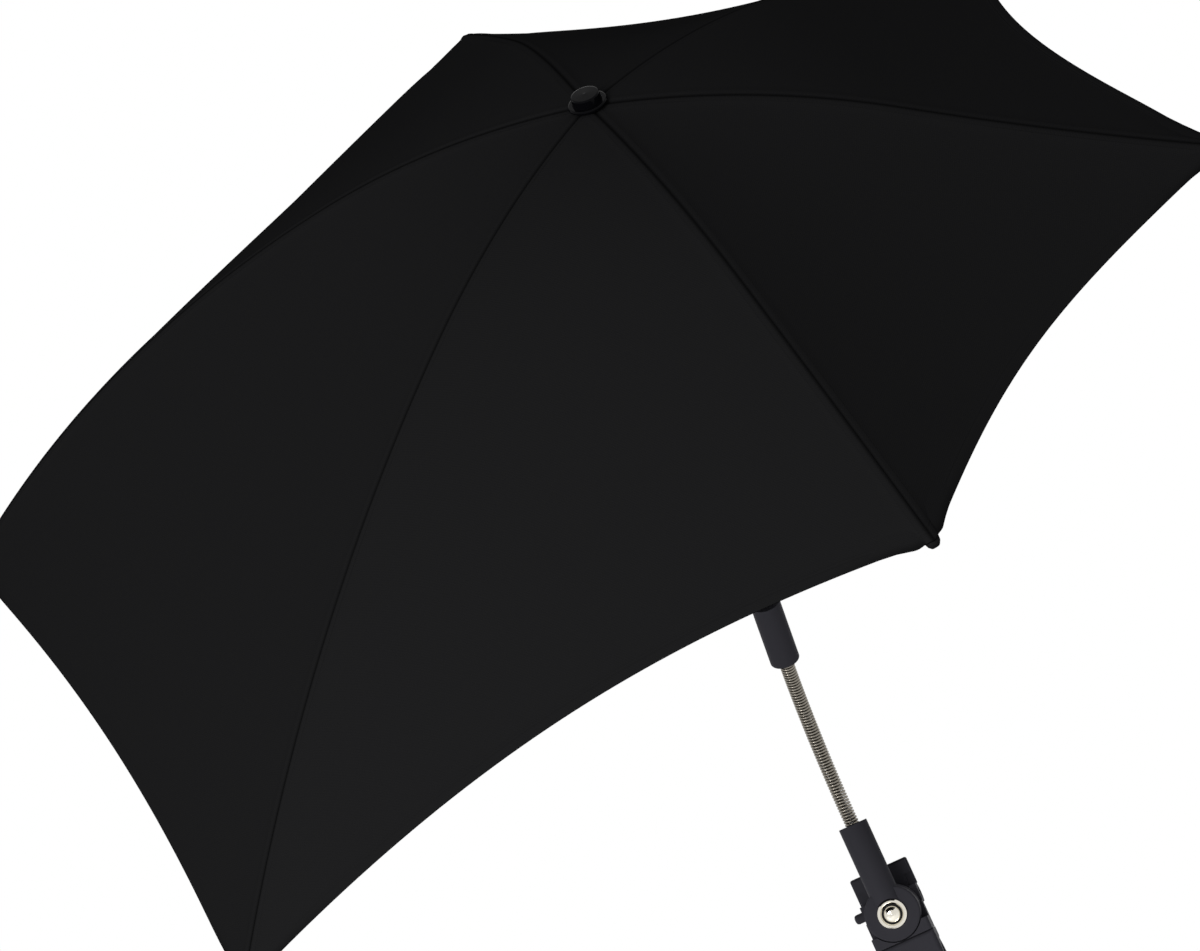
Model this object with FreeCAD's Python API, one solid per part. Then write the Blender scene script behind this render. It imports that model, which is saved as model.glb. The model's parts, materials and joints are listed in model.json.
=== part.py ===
import FreeCAD, Part
import math
import os
from FreeCAD import Placement, Rotation, Vector

# Pram parasol: an off-centre six-rib canopy, a shaft, a wound gooseneck and a spring clip.
# Millimetres. Row frame: origin at the centre of the clip's bore, +X along the pram tube,
# -Y to the front of the clip, +Z up the neck socket. The canopy is built in its own frame,
# crown at the origin, +X to the long visor side, and set on the bent neck by canopy_frame().

# Canopy
LONG_REACH = 469.0
SIDE_REACH = 350.0
SHORT_REACH = 338.0
LONG_DROP = 249.0
SIDE_DROP = 121.0
SHORT_DROP = 101.0
LONG_TURN = 32.7
SIDE_TURN = 93.2
SHORT_TURN = 150.4
CROWN_SLOPE = 3.5
CLOTH_T = 1.0
CLOTH_LIFT = 4.2
CLOTH_HOLE_R = 7.0
SEAM_GAP = 0.6
VISOR_SAG = 0.04
FLANK_SAG = 0.06
SIDE_SAG = 0.10
BACK_SAG = 0.14
VISOR_DIP = 0.02
FLANK_DIP = -0.02
SIDE_DIP = 0.06
BACK_DIP = -0.02

# Ribs and stretchers
RIB_D = 3.2
HINGE_R = 10.0
JOINT_R = 170.0
JOINT_DROP = 38.0
PIN_D = 2.0
EYE_D = 5.2
COLLAR_D = 5.0
COLLAR_W = 4.6
TINE_T = 1.2
RIVET_HEAD_D = 4.0
RIVET_TOP_D = 2.4
RIVET_RIM = 0.4
RIVET_HEAD_H = 0.9
SIDE_PLAY = 0.35
STRETCHER_H = 4.0
BAR_STEP = 0.2
FORK_L = 36.0
YOKE_L = 6.0
TIP_D = 5.6
TIP_L = 12.0
TIP_GRIP = 8.4
TIP_ROUND = 1.7
TIP_PLAY = 0.04
TIP_BACK = 4.0
FOLD = 60.0

# Crown, runner, shaft and finial
SHAFT_D = 10.0
SHAFT_WALL = 1.0
HUB_D = 28.0
HUB_H = 8.2
EYE_STEP = 0.4
SLOT_W = 3.8
HUB_PIN_L = 7.9
CROWN_WALL = 3.0
CROWN_NECK_L = 7.0
RUNNER_OPEN = 100.0
RUNNER_GRIP_D = 17.0
RUNNER_GRIP_L = 22.0
RUNNER_HUB_FOOT = 5.0
RUNNER_RIM_OUT = 1.5
RUNNER_RIM_L = 3.0
RUNNER_RIM_ROUND = 1.0
CATCH_L = 10.0
CATCH_W = 2.2
CATCH_OUT = 3.0
CATCH_NOSE = 2.5
CATCH_HEEL = 1.0
CATCH_STEP = 0.2
FINIAL_D = 22.6
FINIAL_TOP_D = 16.5
FINIAL_H = 7.4
FINIAL_FLANGE = 2.4
FINIAL_ROOF = 2.5
FINIAL_EDGE = 0.8
FINIAL_TAPER = 0.5
FINIAL_CROWN = 0.3

# Sleeve and gooseneck
SLEEVE_D = 17.8
SLEEVE_L = 43.3
RIM_ROUND = 0.4
STOP_ROOM = 7.0
NECK_FREE = 113.0
NECK_LEAN = 36.5
NECK_TURN = 12.5
CANOPY_TURN = -176.0
NECK_D = 9.0
NECK_WIRE = 1.35
NECK_TURNS = 61
NECK_END_TURNS = 6
CORE_D = 3.0
CORE_PAST = 4.5
CORE_ROOM = 1.5

# Socket, knuckle and pivot
SOCKET_D = 17.9
SOCKET_TOP = 58.0
KNUCKLE_D = 33.6
KNUCKLE_T = 11.0
KNUCKLE_ROUND = 1.2
KNUCKLE_CLEAR = 0.6
BOLT_D = 6.0
BOLT_SHORT = 0.3
RING_D = 17.5
RING_H = 2.1
RING_EDGE = 0.7
RING_LAND = 1.0
RING_SLOPE = 0.9
DOME_D = 10.0
DOME_SEAT = 0.6
DOME_RIM = 0.6
DOME_H = 2.6
WASHER_D = 24.0
WASHER_T = 0.9
NUT_AF = 10.0
NUT_T = 3.2
NUT_SINK = 0.7

# Clip
BORE_R = 14.0
PAD_T = 2.5
JAW_T = 4.0
CLIP_W = 37.0
BRACKET_W = 36.6
REAR_W = 33.0
PAD_W = 32.0
PIVOT_Z = 40.0
NECK_BACK = 15.0
PLATE_T = 6.5
SKIRT_DROP = 9.5
SKIRT_ROUND = 2.0
SKIRT_CLEAR = 0.4
SEAM_DROP = 17.3
SEAM_T = 0.25
SHOULDER_OUT = 0.5
SHOULDER_FOOT = 7.5
SHOULDER_ROUND = 2.5
TONGUE_INSET = 1.5
TONGUE_T = 3.0
TONGUE_RISE = 10.0
LINK_T = 3.0
SCREW_D = 3.0
SCREW_L = 8.5
SCREW_INSET = 3.7
SCREW_RISE = 5.5
SCREW_HEAD_D = 5.0
SCREW_HEAD_H = 1.5
SCREW_EDGE = 0.5
FRONT_START = 100.0
FRONT_END = 250.0
REAR_START = -72.0
REAR_END = 79.0
PAD_INSET = 4.0
JAW_PIN_Y = 5.0
JAW_PIN_RISE = 4.6
JAW_PIN_D = 6.0
PIN_STICKS_OUT = 7.5
PIN_INSET = 1.5
PIN_ROUND = 1.7
EAR_T = 4.0
EAR_R = 6.0
BARREL_D = 10.8
BARREL_GAP = 1.0
STEM_FRONT = 1.2
STEM_REAR = 4.0
ROOT_FRONT = 2.0
ROOT_T = 6.0
TAB_TOP = 27.4
TAB_BOTTOM = 9.6
TAB_STEP = 18.0
TAB_FRONT = 4.0
TAB_T = 5.0
TAB_ROUND = 1.5
LEDGE_INSET = 1.0
LEDGE_T = 3.0
LEDGE_DROP = 1.2
SPRING_WIRE = 1.6
SPRING_R = 5.9
SPRING_TURNS = 4.5
SPRING_W = 9.4
SPRING_LEG = 9.0
WELL_PLAY = 0.5

# Clearances, and how far fused pieces lap and cuts run past what they open
PRESS_PLAY = 0.02
PIN_PRESS = 0.01
TURN_PLAY = 0.05
RUNNER_PLAY = 0.1
NECK_PLAY = 0.2
DOME_PLAY = 0.2
EYE_PLAY = 0.3
CATCH_PLAY = 0.3
CLOTH_PLAY = 0.5
LAP = 0.5
PAST = 1.0

# Values that follow from the sizes above
X_AXIS = Vector(1, 0, 0)
Y_AXIS = Vector(0, 1, 0)
Z_AXIS = Vector(0, 0, 1)
KNUCKLE_FRONT = -NECK_BACK - KNUCKLE_T / 2
KNUCKLE_REAR = -NECK_BACK + KNUCKLE_T / 2
PLATE_FRONT = KNUCKLE_REAR + WASHER_T + 2 * TURN_PLAY
PLATE_REAR = PLATE_FRONT + PLATE_T
SEAM_Z = PIVOT_Z - SEAM_DROP
JAW_PIN_Z = PIVOT_Z + JAW_PIN_RISE
JAW_R = BORE_R + PAD_T + TURN_PLAY
JAW_FOOT = JAW_R - PAST
JAW_OUT_R = JAW_R + JAW_T
TINE_IN = COLLAR_W / 2 + SIDE_PLAY
TINE_OUT = TINE_IN + TINE_T
HUB_TOP = EYE_D / 2 - EYE_STEP
FINIAL_FOOT = CLOTH_LIFT + CLOTH_T + CLOTH_PLAY
COIL_R = (NECK_D - NECK_WIRE) / 2
COIL_PITCH = NECK_FREE / NECK_TURNS
NECK_INSERT = NECK_END_TURNS * COIL_PITCH
SEAT_WEB = CORE_PAST + CORE_ROOM
RIB_TURNS = (LONG_TURN, SIDE_TURN, SHORT_TURN, -SHORT_TURN, -SIDE_TURN, -LONG_TURN)
RIB_REACH = (LONG_REACH, SIDE_REACH, SHORT_REACH, SHORT_REACH, SIDE_REACH, LONG_REACH)
RIB_DROP = (LONG_DROP, SIDE_DROP, SHORT_DROP, SHORT_DROP, SIDE_DROP, LONG_DROP)
PANEL_SAG = (FLANK_SAG, SIDE_SAG, BACK_SAG, SIDE_SAG, FLANK_SAG, VISOR_SAG)
PANEL_DIP = (FLANK_DIP, SIDE_DIP, BACK_DIP, SIDE_DIP, FLANK_DIP, VISOR_DIP)


class RibLine:
    """A rib's centre line in its own plane: two arcs that run on in one direction at the joint."""

    def __init__(self, reach, drop):
        self.arcs = []
        slope = math.radians(CROWN_SLOPE)
        points = [(HINGE_R, 0.0), (JOINT_R, -JOINT_DROP), (reach, -drop)]
        for first, last in zip(points, points[1:]):
            out, down = last[0] - first[0], first[1] - last[1]
            turn = 2 * (math.atan2(down, out) - slope)
            chord = math.hypot(out, down)
            length = chord * (turn / 2) / math.sin(turn / 2) if abs(turn) > 1e-6 else chord
            self.arcs.append((first, slope, turn, length))
            slope += turn
        self.length = sum(arc[3] for arc in self.arcs)
        self.joint = self.arcs[0][3]

    def at(self, s):
        """Radius, height and downward slope at a length from the crown hinge."""
        for number, (first, slope, turn, length) in enumerate(self.arcs):
            if s <= length or number == 1:
                break
            s -= length
        inside = min(max(s, 0.0), length)
        bend = turn * inside / length
        chord = inside * (math.sin(bend / 2) / (bend / 2) if abs(bend) > 1e-9 else 1.0)
        r = first[0] + chord * math.cos(slope + bend / 2) + (s - inside) * math.cos(slope + bend)
        z = first[1] - chord * math.sin(slope + bend / 2) - (s - inside) * math.sin(slope + bend)
        return r, z, slope + bend

    def wire(self):
        """The two arcs as a wire in the XZ plane, ending inside the cloth's hem."""
        edges = []
        start = 0.0
        for end in (self.joint, self.length - TIP_BACK):
            spots = [self.at(start + (end - start) * share) for share in (0.0, 0.5, 1.0)]
            spots = [Vector(r, 0, z) for r, z, slope in spots]
            edges.append(Part.Arc(*spots).toShape())
            start = end
        return Part.Wire(edges)


def rib_lines():
    return [RibLine(reach, drop) for reach, drop in zip(RIB_REACH, RIB_DROP)]


def fold_values():
    """Stretcher length, its lift angle with the canopy open and folded, and the runner's travel."""
    arm = math.hypot(JOINT_R - HINGE_R, JOINT_DROP)
    open_angle = math.atan2(JOINT_DROP, JOINT_R - HINGE_R)
    rise = RUNNER_OPEN - JOINT_DROP
    length = math.hypot(JOINT_R - HINGE_R, rise)
    lift_open = math.atan2(rise, JOINT_R - HINGE_R)
    folded = open_angle + math.radians(FOLD)
    out = arm * math.cos(folded)
    lift_folded = math.acos(out / length)
    travel = arm * math.sin(folded) + length * math.sin(lift_folded) - RUNNER_OPEN
    return length, lift_open, lift_folded, travel


def sleeve_foot():
    """Depth of the sleeve's lower rim below the crown hinges."""
    travel = fold_values()[3]
    return RUNNER_OPEN + travel + RUNNER_GRIP_L + STOP_ROOM + SLEEVE_L


def neck_frame(s):
    """Frame at a length along the gooseneck from the socket's rim; straight before and after the bend."""
    lean = math.radians(NECK_LEAN)
    radius = NECK_FREE / lean
    bend = min(max(s / radius, 0.0), lean)
    before = min(s, 0.0)
    after = max(s - NECK_FREE, 0.0)
    y = -radius * (1 - math.cos(bend)) - after * math.sin(bend)
    z = radius * math.sin(bend) + after * math.cos(bend) + before
    turn = Rotation(Z_AXIS, NECK_TURN)
    base = Vector(0, -NECK_BACK, PIVOT_Z + SOCKET_TOP) + turn.multVec(Vector(0, y, z))
    return Placement(base, turn.multiply(Rotation(X_AXIS, math.degrees(bend))))


def canopy_frame():
    """Frame of the canopy in the row frame."""
    rise = Placement(Vector(0, 0, sleeve_foot()), Rotation(Z_AXIS, CANOPY_TURN))
    return neck_frame(NECK_FREE).multiply(rise)


def cylinder(radius, start, direction, length):
    return Part.makeCylinder(radius, length, Vector(*start), direction)


def box(x0, x1, y0, y1, z0, z1):
    return Part.makeBox(x1 - x0, y1 - y0, z1 - z0, Vector(x0, y0, z0))


def turned(shape, degrees):
    result = shape.copy()
    result.rotate(Vector(0, 0, 0), Z_AXIS, degrees)
    return result


def spun(points, origin, axis):
    """A solid of revolution from an outline of (radius, height) points about Z, set along an axis."""
    outline = Part.makePolygon([Vector(r, 0, z) for r, z in points + points[:1]])
    solid = Part.Face(outline).revolve(Vector(0, 0, 0), Z_AXIS, 360)
    solid.Placement = Placement(Vector(*origin), Rotation(Z_AXIS, axis))
    return solid


def rounded_end(radius, end, round_by):
    """Outline points of a round end's edge, turned over in two steps."""
    step = round_by * (1 - math.sqrt(0.5))
    return [(radius, end - round_by), (radius - step, end - step), (radius - round_by, end)]


def joined(first, others):
    return first.fuse(others).removeSplitter()


def biarc(start, start_way, end, end_way):
    """Two arcs that leave start and reach end in the given directions."""
    gap = end - start
    ways = start_way + end_way
    spread = 2 * (1 - start_way.dot(end_way))
    lean = gap.dot(ways)
    reach = (math.sqrt(lean * lean + spread * gap.dot(gap)) - lean) / spread
    corners = (start + start_way * reach, end - end_way * reach)
    middle = (corners[0] + corners[1]) * 0.5
    edges = []
    for first, corner, last in ((start, corners[0], middle), (middle, corners[1], end)):
        half = (first + last) * 0.5
        inward = half - corner
        radius = reach * (first - half).Length / inward.Length
        crown = corner + inward * ((math.hypot(radius, reach) - radius) / inward.Length)
        edges.append(Part.Arc(first, crown, last).toShape())
    return edges


def wound_wire(place, turns, radius, wire, lead):
    """A round wire wound in half-turn biarcs; place(turn) gives the frame of the winding's axis."""
    def spot(turn):
        angle = 2 * math.pi * turn
        return place(turn).multVec(Vector(radius * math.cos(angle), radius * math.sin(angle), 0))

    def way(turn):
        return (spot(turn + 0.0005) - spot(turn - 0.0005)).normalize()

    edges = []
    halves = int(round(2 * turns))
    for half in range(halves):
        edges += biarc(spot(half / 2), way(half / 2), spot((half + 1) / 2), way((half + 1) / 2))
    if lead:
        edges.insert(0, Part.makeLine(spot(0) - way(0) * lead, spot(0)))
        edges.append(Part.makeLine(spot(halves / 2), spot(halves / 2) + way(halves / 2) * lead))
    path = Part.Wire(edges)
    first = edges[0].valueAt(edges[0].FirstParameter)
    aim = edges[0].tangentAt(edges[0].FirstParameter)
    solid = path.makePipeShell([Part.Wire(Part.makeCircle(wire / 2, first, aim))], True, False)
    spots = [spot(step / 24) for step in range(12 * halves + 1)]
    gaps = []
    for number, near in enumerate(spots):
        gaps += [(near - far).Length for far in spots[number + 12:number + 37]]
    return solid, min(gaps) - wire


def ring_sector(inner, outer, start, end, width):
    """A bent plate about the clip's bore, between two angles from +Y."""
    def spot(radius, degrees):
        angle = math.radians(degrees)
        return Vector(-width / 2, radius * math.cos(angle), radius * math.sin(angle))

    half = (start + end) / 2
    edges = [
        Part.Arc(spot(outer, start), spot(outer, half), spot(outer, end)).toShape(),
        Part.makeLine(spot(outer, end), spot(inner, end)),
        Part.Arc(spot(inner, end), spot(inner, half), spot(inner, start)).toShape(),
        Part.makeLine(spot(inner, start), spot(outer, start)),
    ]
    return Part.Face(Part.Wire(edges)).extrude(Vector(width, 0, 0))


def rib_rod(line, radius):
    """A round rod along a rib's centre line."""
    r, z, slope = line.at(0)
    way = Vector(math.cos(slope), 0, -math.sin(slope))
    ring = Part.Wire(Part.makeCircle(radius, Vector(r, 0, z), way))
    return line.wire().makePipeShell([ring], True, False)


def make_rib(line):
    rod = rib_rod(line, RIB_D / 2)
    eye = cylinder(EYE_D / 2, (HINGE_R, -RIB_D / 2, 0), Y_AXIS, RIB_D)
    collar = cylinder(COLLAR_D / 2, (JOINT_R, -COLLAR_W / 2, -JOINT_DROP), Y_AXIS, COLLAR_W)
    rib = rod.fuse([eye, collar])
    pin_hole = cylinder(PIN_D / 2 + TURN_PLAY, (HINGE_R, -RIB_D, 0), Y_AXIS, 2 * RIB_D)
    rivet_hole = cylinder(PIN_D / 2, (JOINT_R, -COLLAR_W, -JOINT_DROP), Y_AXIS, 2 * COLLAR_W)
    return rib.cut([pin_hole, rivet_hole])


def make_rib_tip(line):
    r, z, slope = line.at(line.length - TIP_BACK)
    end = TIP_L - TIP_GRIP
    way = Vector(math.cos(slope), 0, -math.sin(slope))
    outline = [(0, -TIP_GRIP), (TIP_D / 2, -TIP_GRIP), *rounded_end(TIP_D / 2, end, TIP_ROUND), (0, end)]
    bore = RIB_D / 2 + TIP_PLAY
    seat = cylinder(bore, (r, 0, z), way, TIP_PLAY)
    return spun(outline, (r, 0, z), way).cut([rib_rod(line, bore), seat])


def stretcher_frame():
    """Frame along an open stretcher, from its runner pin to its rib joint."""
    lift = math.degrees(fold_values()[1])
    return Placement(Vector(HINGE_R, 0, -RUNNER_OPEN), Rotation(Y_AXIS, -lift))


def make_stretcher():
    length = fold_values()[0]
    half = STRETCHER_H / 2
    eye = cylinder(EYE_D / 2, (0, -RIB_D / 2, 0), Y_AXIS, RIB_D)
    bar = box(0, length - FORK_L, BAR_STEP - RIB_D / 2, RIB_D / 2 - BAR_STEP, -half, half)
    yoke = box(length - FORK_L - YOKE_L, length - FORK_L, -TINE_OUT, TINE_OUT, -half, half)
    pieces = [bar, yoke]
    for y in (-TINE_OUT, TINE_IN):
        pieces.append(box(length - FORK_L - LAP, length, y, y + TINE_T, -half, half))
        pieces.append(cylinder(half, (length, y, 0), Y_AXIS, TINE_T))
    pin_hole = cylinder(PIN_D / 2 + TURN_PLAY, (0, -RIB_D, 0), Y_AXIS, 2 * RIB_D)
    rivet_hole = cylinder(PIN_D / 2 + PRESS_PLAY, (length, -2 * TINE_OUT, 0), Y_AXIS, 4 * TINE_OUT)
    return joined(eye, pieces).cut([pin_hole, rivet_hole])


def make_rivets():
    """Two short rivets in the tines of a stretcher's fork."""
    length = fold_values()[0]
    foot, top = TINE_T + PRESS_PLAY, TINE_T + RIVET_HEAD_H
    head = RIVET_HEAD_D / 2
    rivets = []
    for side in (-1, 1):
        outline = [(0, 0), (PIN_D / 2, 0), (PIN_D / 2, foot), (head, foot), (head, TINE_T + RIVET_RIM),
                   (RIVET_TOP_D / 2, top), (0, top)]
        rivets.append(spun(outline, (length, side * TINE_IN, 0), Vector(0, side, 0)))
    return Part.makeCompound(rivets)


def make_gore(number, lines):
    """One cloth panel from a rib to the next: profiles from crown to hem, lofted across the panel."""
    sides = (number, (number + 1) % 6)

    def spot(share, s_share, lift):
        ends = []
        for side, shift in zip(sides, (SEAM_GAP / 2, -SEAM_GAP / 2)):
            line = lines[side]
            inner = CLOTH_HOLE_R - HINGE_R
            r, z, slope = line.at(inner + s_share * (line.length - inner))
            angle = math.radians(RIB_TURNS[side])
            r += lift * math.sin(slope)
            across = Vector(-math.sin(angle), math.cos(angle), 0) * shift
            ends.append(Vector(r * math.cos(angle), r * math.sin(angle), z + lift * math.cos(slope)) + across)
        dip = PANEL_DIP[number] * 4 * share * (1 - share) * (ends[1] - ends[0]).Length
        return ends[0] * (1 - share) + ends[1] * share - Z_AXIS * dip

    sections = []
    joints = [line.joint / line.length for line in lines]
    for share in (0.0, 0.25, 0.5, 0.75, 1.0):
        joint = joints[sides[0]] * (1 - share) + joints[sides[1]] * share
        hem = 1 - PANEL_SAG[number] * 4 * share * (1 - share)
        stations = (0, joint / 2, joint, (joint + hem) / 2, hem)
        low = [spot(share, station, CLOTH_LIFT) for station in stations]
        top = [spot(share, station, CLOTH_LIFT + CLOTH_T) for station in stations]
        sections.append(Part.Wire([
            Part.Arc(low[0], low[1], low[2]).toShape(), Part.Arc(low[2], low[3], low[4]).toShape(),
            Part.makeLine(low[4], top[4]), Part.Arc(top[4], top[3], top[2]).toShape(),
            Part.Arc(top[2], top[1], top[0]).toShape(), Part.makeLine(top[0], low[0])]))
    return Part.makeLoft(sections, True, False)


def slotted_hub(top, bottom):
    """A hub disc with a slot and two pin holes for each rib."""
    hub = cylinder(HUB_D / 2, (0, 0, bottom), Z_AXIS, top - bottom)
    cuts = []
    for degrees in RIB_TURNS:
        slot = box(HINGE_R - EYE_D / 2 - EYE_PLAY, HUB_D, -SLOT_W / 2, SLOT_W / 2, bottom - PAST, top + PAST)
        hole = cylinder(PIN_D / 2 + PIN_PRESS, (HINGE_R, -HUB_PIN_L / 2 - TURN_PLAY, 0), Y_AXIS,
                        HUB_PIN_L + 2 * TURN_PLAY)
        cuts += [turned(slot, degrees), turned(hole, degrees)]
    return hub.cut(cuts)


def hub_pins():
    pin = cylinder(PIN_D / 2, (HINGE_R, -HUB_PIN_L / 2, 0), Y_AXIS, HUB_PIN_L)
    return Part.makeCompound([turned(pin, degrees) for degrees in RIB_TURNS])


def catch_top():
    """Height of the catch's upper end, just under the open runner."""
    return -RUNNER_OPEN - RUNNER_GRIP_L - 2 * CATCH_PLAY


def make_crown():
    hub_foot = HUB_TOP - HUB_H
    foot = hub_foot - CROWN_NECK_L
    neck = cylinder(SHAFT_D / 2 + CROWN_WALL, (0, 0, foot), Z_AXIS, CROWN_NECK_L + LAP)
    bore = cylinder(SHAFT_D / 2 + PRESS_PLAY, (0, 0, foot - PAST), Z_AXIS, HUB_TOP - foot + 2 * PAST)
    return joined(slotted_hub(HUB_TOP, hub_foot), [neck]).cut(bore)


def make_runner():
    top, foot = EYE_D / 2 + EYE_STEP, -RUNNER_GRIP_L
    grip = cylinder(RUNNER_GRIP_D / 2, (0, 0, foot), Z_AXIS, RUNNER_GRIP_L - RUNNER_HUB_FOOT + LAP)
    rim = cylinder(RUNNER_GRIP_D / 2 + RUNNER_RIM_OUT, (0, 0, foot), Z_AXIS, RUNNER_RIM_L)
    rim = rim.makeFillet(RUNNER_RIM_ROUND, rim.Edges)
    bore = cylinder(SHAFT_D / 2 + RUNNER_PLAY, (0, 0, foot - PAST), Z_AXIS, top - foot + 2 * PAST)
    groove_half = CATCH_W / 2 + CATCH_PLAY
    groove = box(0, SHAFT_D / 2 + CATCH_OUT + CATCH_PLAY, -groove_half, groove_half, foot - PAST, top + PAST)
    runner = joined(slotted_hub(top, -RUNNER_HUB_FOOT), [grip, rim]).cut([bore, groove])
    runner.translate(Vector(0, 0, -RUNNER_OPEN))
    return runner


def make_shaft():
    top = FINIAL_FOOT + FINIAL_H - FINIAL_ROOF
    foot = -sleeve_foot() + NECK_INSERT + SEAT_WEB
    tube = cylinder(SHAFT_D / 2, (0, 0, foot), Z_AXIS, top - foot)
    bore = cylinder(SHAFT_D / 2 - SHAFT_WALL, (0, 0, foot - PAST), Z_AXIS, top - foot + 2 * PAST)
    half = CATCH_W / 2 + CATCH_PLAY
    window = box(0, SHAFT_D, -half, half, catch_top() - CATCH_L - CATCH_PLAY, catch_top() + CATCH_PLAY)
    return tube.cut([bore, window])


def make_catch():
    """The spring catch under the open runner, its nose through the shaft's window."""
    top, foot = catch_top(), catch_top() - CATCH_L
    out = SHAFT_D / 2 + CATCH_OUT
    back = SHAFT_D / 2 - SHAFT_WALL - CATCH_HEEL
    outline = [(back, top), (out, top), (out, top - CATCH_NOSE), (SHAFT_D / 2 + CATCH_STEP, foot),
               (back, foot)]
    face = Part.Face(Part.makePolygon([Vector(x, -CATCH_W / 2, z) for x, z in outline + outline[:1]]))
    return face.extrude(Vector(0, CATCH_W, 0))


def make_finial():
    flange = FINIAL_FOOT + FINIAL_FLANGE
    top = FINIAL_FOOT + FINIAL_H
    roof = top - FINIAL_ROOF + PRESS_PLAY
    rim = FINIAL_D / 2
    body = FINIAL_TOP_D / 2
    bore = SHAFT_D / 2 + PRESS_PLAY
    outline = [(bore, FINIAL_FOOT), (rim - FINIAL_EDGE, FINIAL_FOOT), (rim, FINIAL_FOOT + FINIAL_EDGE),
               *rounded_end(rim, flange, FINIAL_EDGE),
               (body + FINIAL_TAPER, flange), *rounded_end(body, top, FINIAL_EDGE),
               (0, top + FINIAL_CROWN), (0, roof), (bore, roof)]
    return spun(outline, (0, 0, 0), Z_AXIS)


def make_sleeve():
    foot = -sleeve_foot()
    body = cylinder(SLEEVE_D / 2, (0, 0, foot), Z_AXIS, SLEEVE_L)
    body = body.makeFillet(RIM_ROUND, [body.Edges[0], body.Edges[2]])
    seat = foot + NECK_INSERT + SEAT_WEB
    neck_bore = cylinder(NECK_D / 2 + NECK_PLAY, (0, 0, foot - PAST), Z_AXIS, NECK_INSERT + 2 * PAST)
    core_bore = cylinder(CORE_D / 2 + PRESS_PLAY, (0, 0, foot), Z_AXIS, seat - foot)
    shaft_bore = cylinder(SHAFT_D / 2 + PRESS_PLAY, (0, 0, seat - TURN_PLAY), Z_AXIS, SLEEVE_L)
    return body.cut([neck_bore, core_bore, shaft_bore])


def make_gooseneck():
    turns = NECK_TURNS + 2 * NECK_END_TURNS

    def place(turn):
        return neck_frame(turn * COIL_PITCH - NECK_INSERT)

    return wound_wire(place, turns, COIL_R, NECK_WIRE, 0)


def make_core():
    held = NECK_INSERT + CORE_PAST
    ends = [neck_frame(s).Base for s in (-held, 0, NECK_FREE / 2, NECK_FREE, NECK_FREE + held)]
    path = Part.Wire([Part.makeLine(ends[0], ends[1]), Part.Arc(ends[1], ends[2], ends[3]).toShape(),
                      Part.makeLine(ends[3], ends[4])])
    return path.makePipeShell([Part.Wire(Part.makeCircle(CORE_D / 2, ends[0], Z_AXIS))], True, False)


def bolt_hole(front, rear):
    """The pivot bolt's turning bore through a piece that lies between two depths."""
    return cylinder(BOLT_D / 2 + TURN_PLAY, (0, front - PAST, PIVOT_Z), Y_AXIS, rear - front + 2 * PAST)


def make_knuckle():
    centre = (0, -NECK_BACK, PIVOT_Z)
    disc = cylinder(KNUCKLE_D / 2, (0, KNUCKLE_FRONT, PIVOT_Z), Y_AXIS, KNUCKLE_T)
    disc = disc.makeFillet(KNUCKLE_ROUND, disc.Edges)
    socket = cylinder(SOCKET_D / 2, centre, Z_AXIS, SOCKET_TOP)
    socket = socket.makeFillet(RIM_ROUND, [socket.Edges[0], socket.Edges[2]])
    rear = cylinder(KNUCKLE_D / 2 + KNUCKLE_CLEAR, (0, KNUCKLE_REAR, PIVOT_Z), Y_AXIS, SOCKET_D)
    front = cylinder(RING_D / 2 + KNUCKLE_CLEAR, (0, KNUCKLE_FRONT - SOCKET_D, PIVOT_Z), Y_AXIS, SOCKET_D)
    bolt_bore = bolt_hole(KNUCKLE_FRONT, KNUCKLE_REAR)
    rim = PIVOT_Z + SOCKET_TOP
    seat = rim - NECK_INSERT - SEAT_WEB
    neck_bore = cylinder(NECK_D / 2 + NECK_PLAY, (0, -NECK_BACK, rim - NECK_INSERT - PAST), Z_AXIS,
                         NECK_INSERT + 2 * PAST)
    core_bore = cylinder(CORE_D / 2 + PRESS_PLAY, (0, -NECK_BACK, seat), Z_AXIS, NECK_INSERT)
    return joined(disc, [socket]).cut([rear, front, bolt_bore, neck_bore, core_bore])


def make_bolt():
    end = PLATE_REAR - BOLT_SHORT - KNUCKLE_FRONT
    head = DOME_D / 2
    rim = -DOME_SEAT - DOME_RIM
    outline = [(0, end), (BOLT_D / 2, end), (BOLT_D / 2, -DOME_SEAT), (head, -DOME_SEAT), (head, rim)]
    for step in range(1, 6):
        angle = math.radians(step * 15)
        outline.append((head * math.cos(angle), rim - DOME_H * math.sin(angle)))
    outline.append((0, rim - DOME_H))
    return spun(outline, (0, KNUCKLE_FRONT, PIVOT_Z), Y_AXIS)


def make_pivot_ring():
    rim = RING_D / 2
    land = rim - RING_EDGE - RING_LAND
    bore = BOLT_D / 2 + TURN_PLAY
    floor = TURN_PLAY - DOME_SEAT
    outline = [(bore, -PRESS_PLAY), (rim, -PRESS_PLAY), (rim, RING_EDGE - RING_H), (rim - RING_EDGE, -RING_H),
               (land, -RING_H), (land - RING_SLOPE, RING_SLOPE - RING_H),
               (DOME_D / 2 + DOME_PLAY, floor), (bore, floor)]
    return spun(outline, (0, KNUCKLE_FRONT, PIVOT_Z), Y_AXIS)


def make_pivot_washer():
    washer = cylinder(WASHER_D / 2, (0, KNUCKLE_REAR + TURN_PLAY, PIVOT_Z), Y_AXIS, WASHER_T)
    return washer.cut(bolt_hole(KNUCKLE_REAR, PLATE_FRONT))


def nut_prism(across, front, rear):
    corner = across / math.sqrt(3)
    spots = []
    for step in range(7):
        angle = math.radians(60 * step)
        spots.append(Vector(corner * math.cos(angle), front, PIVOT_Z + corner * math.sin(angle)))
    return Part.Face(Part.makePolygon(spots)).extrude(Vector(0, rear - front, 0))


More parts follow.
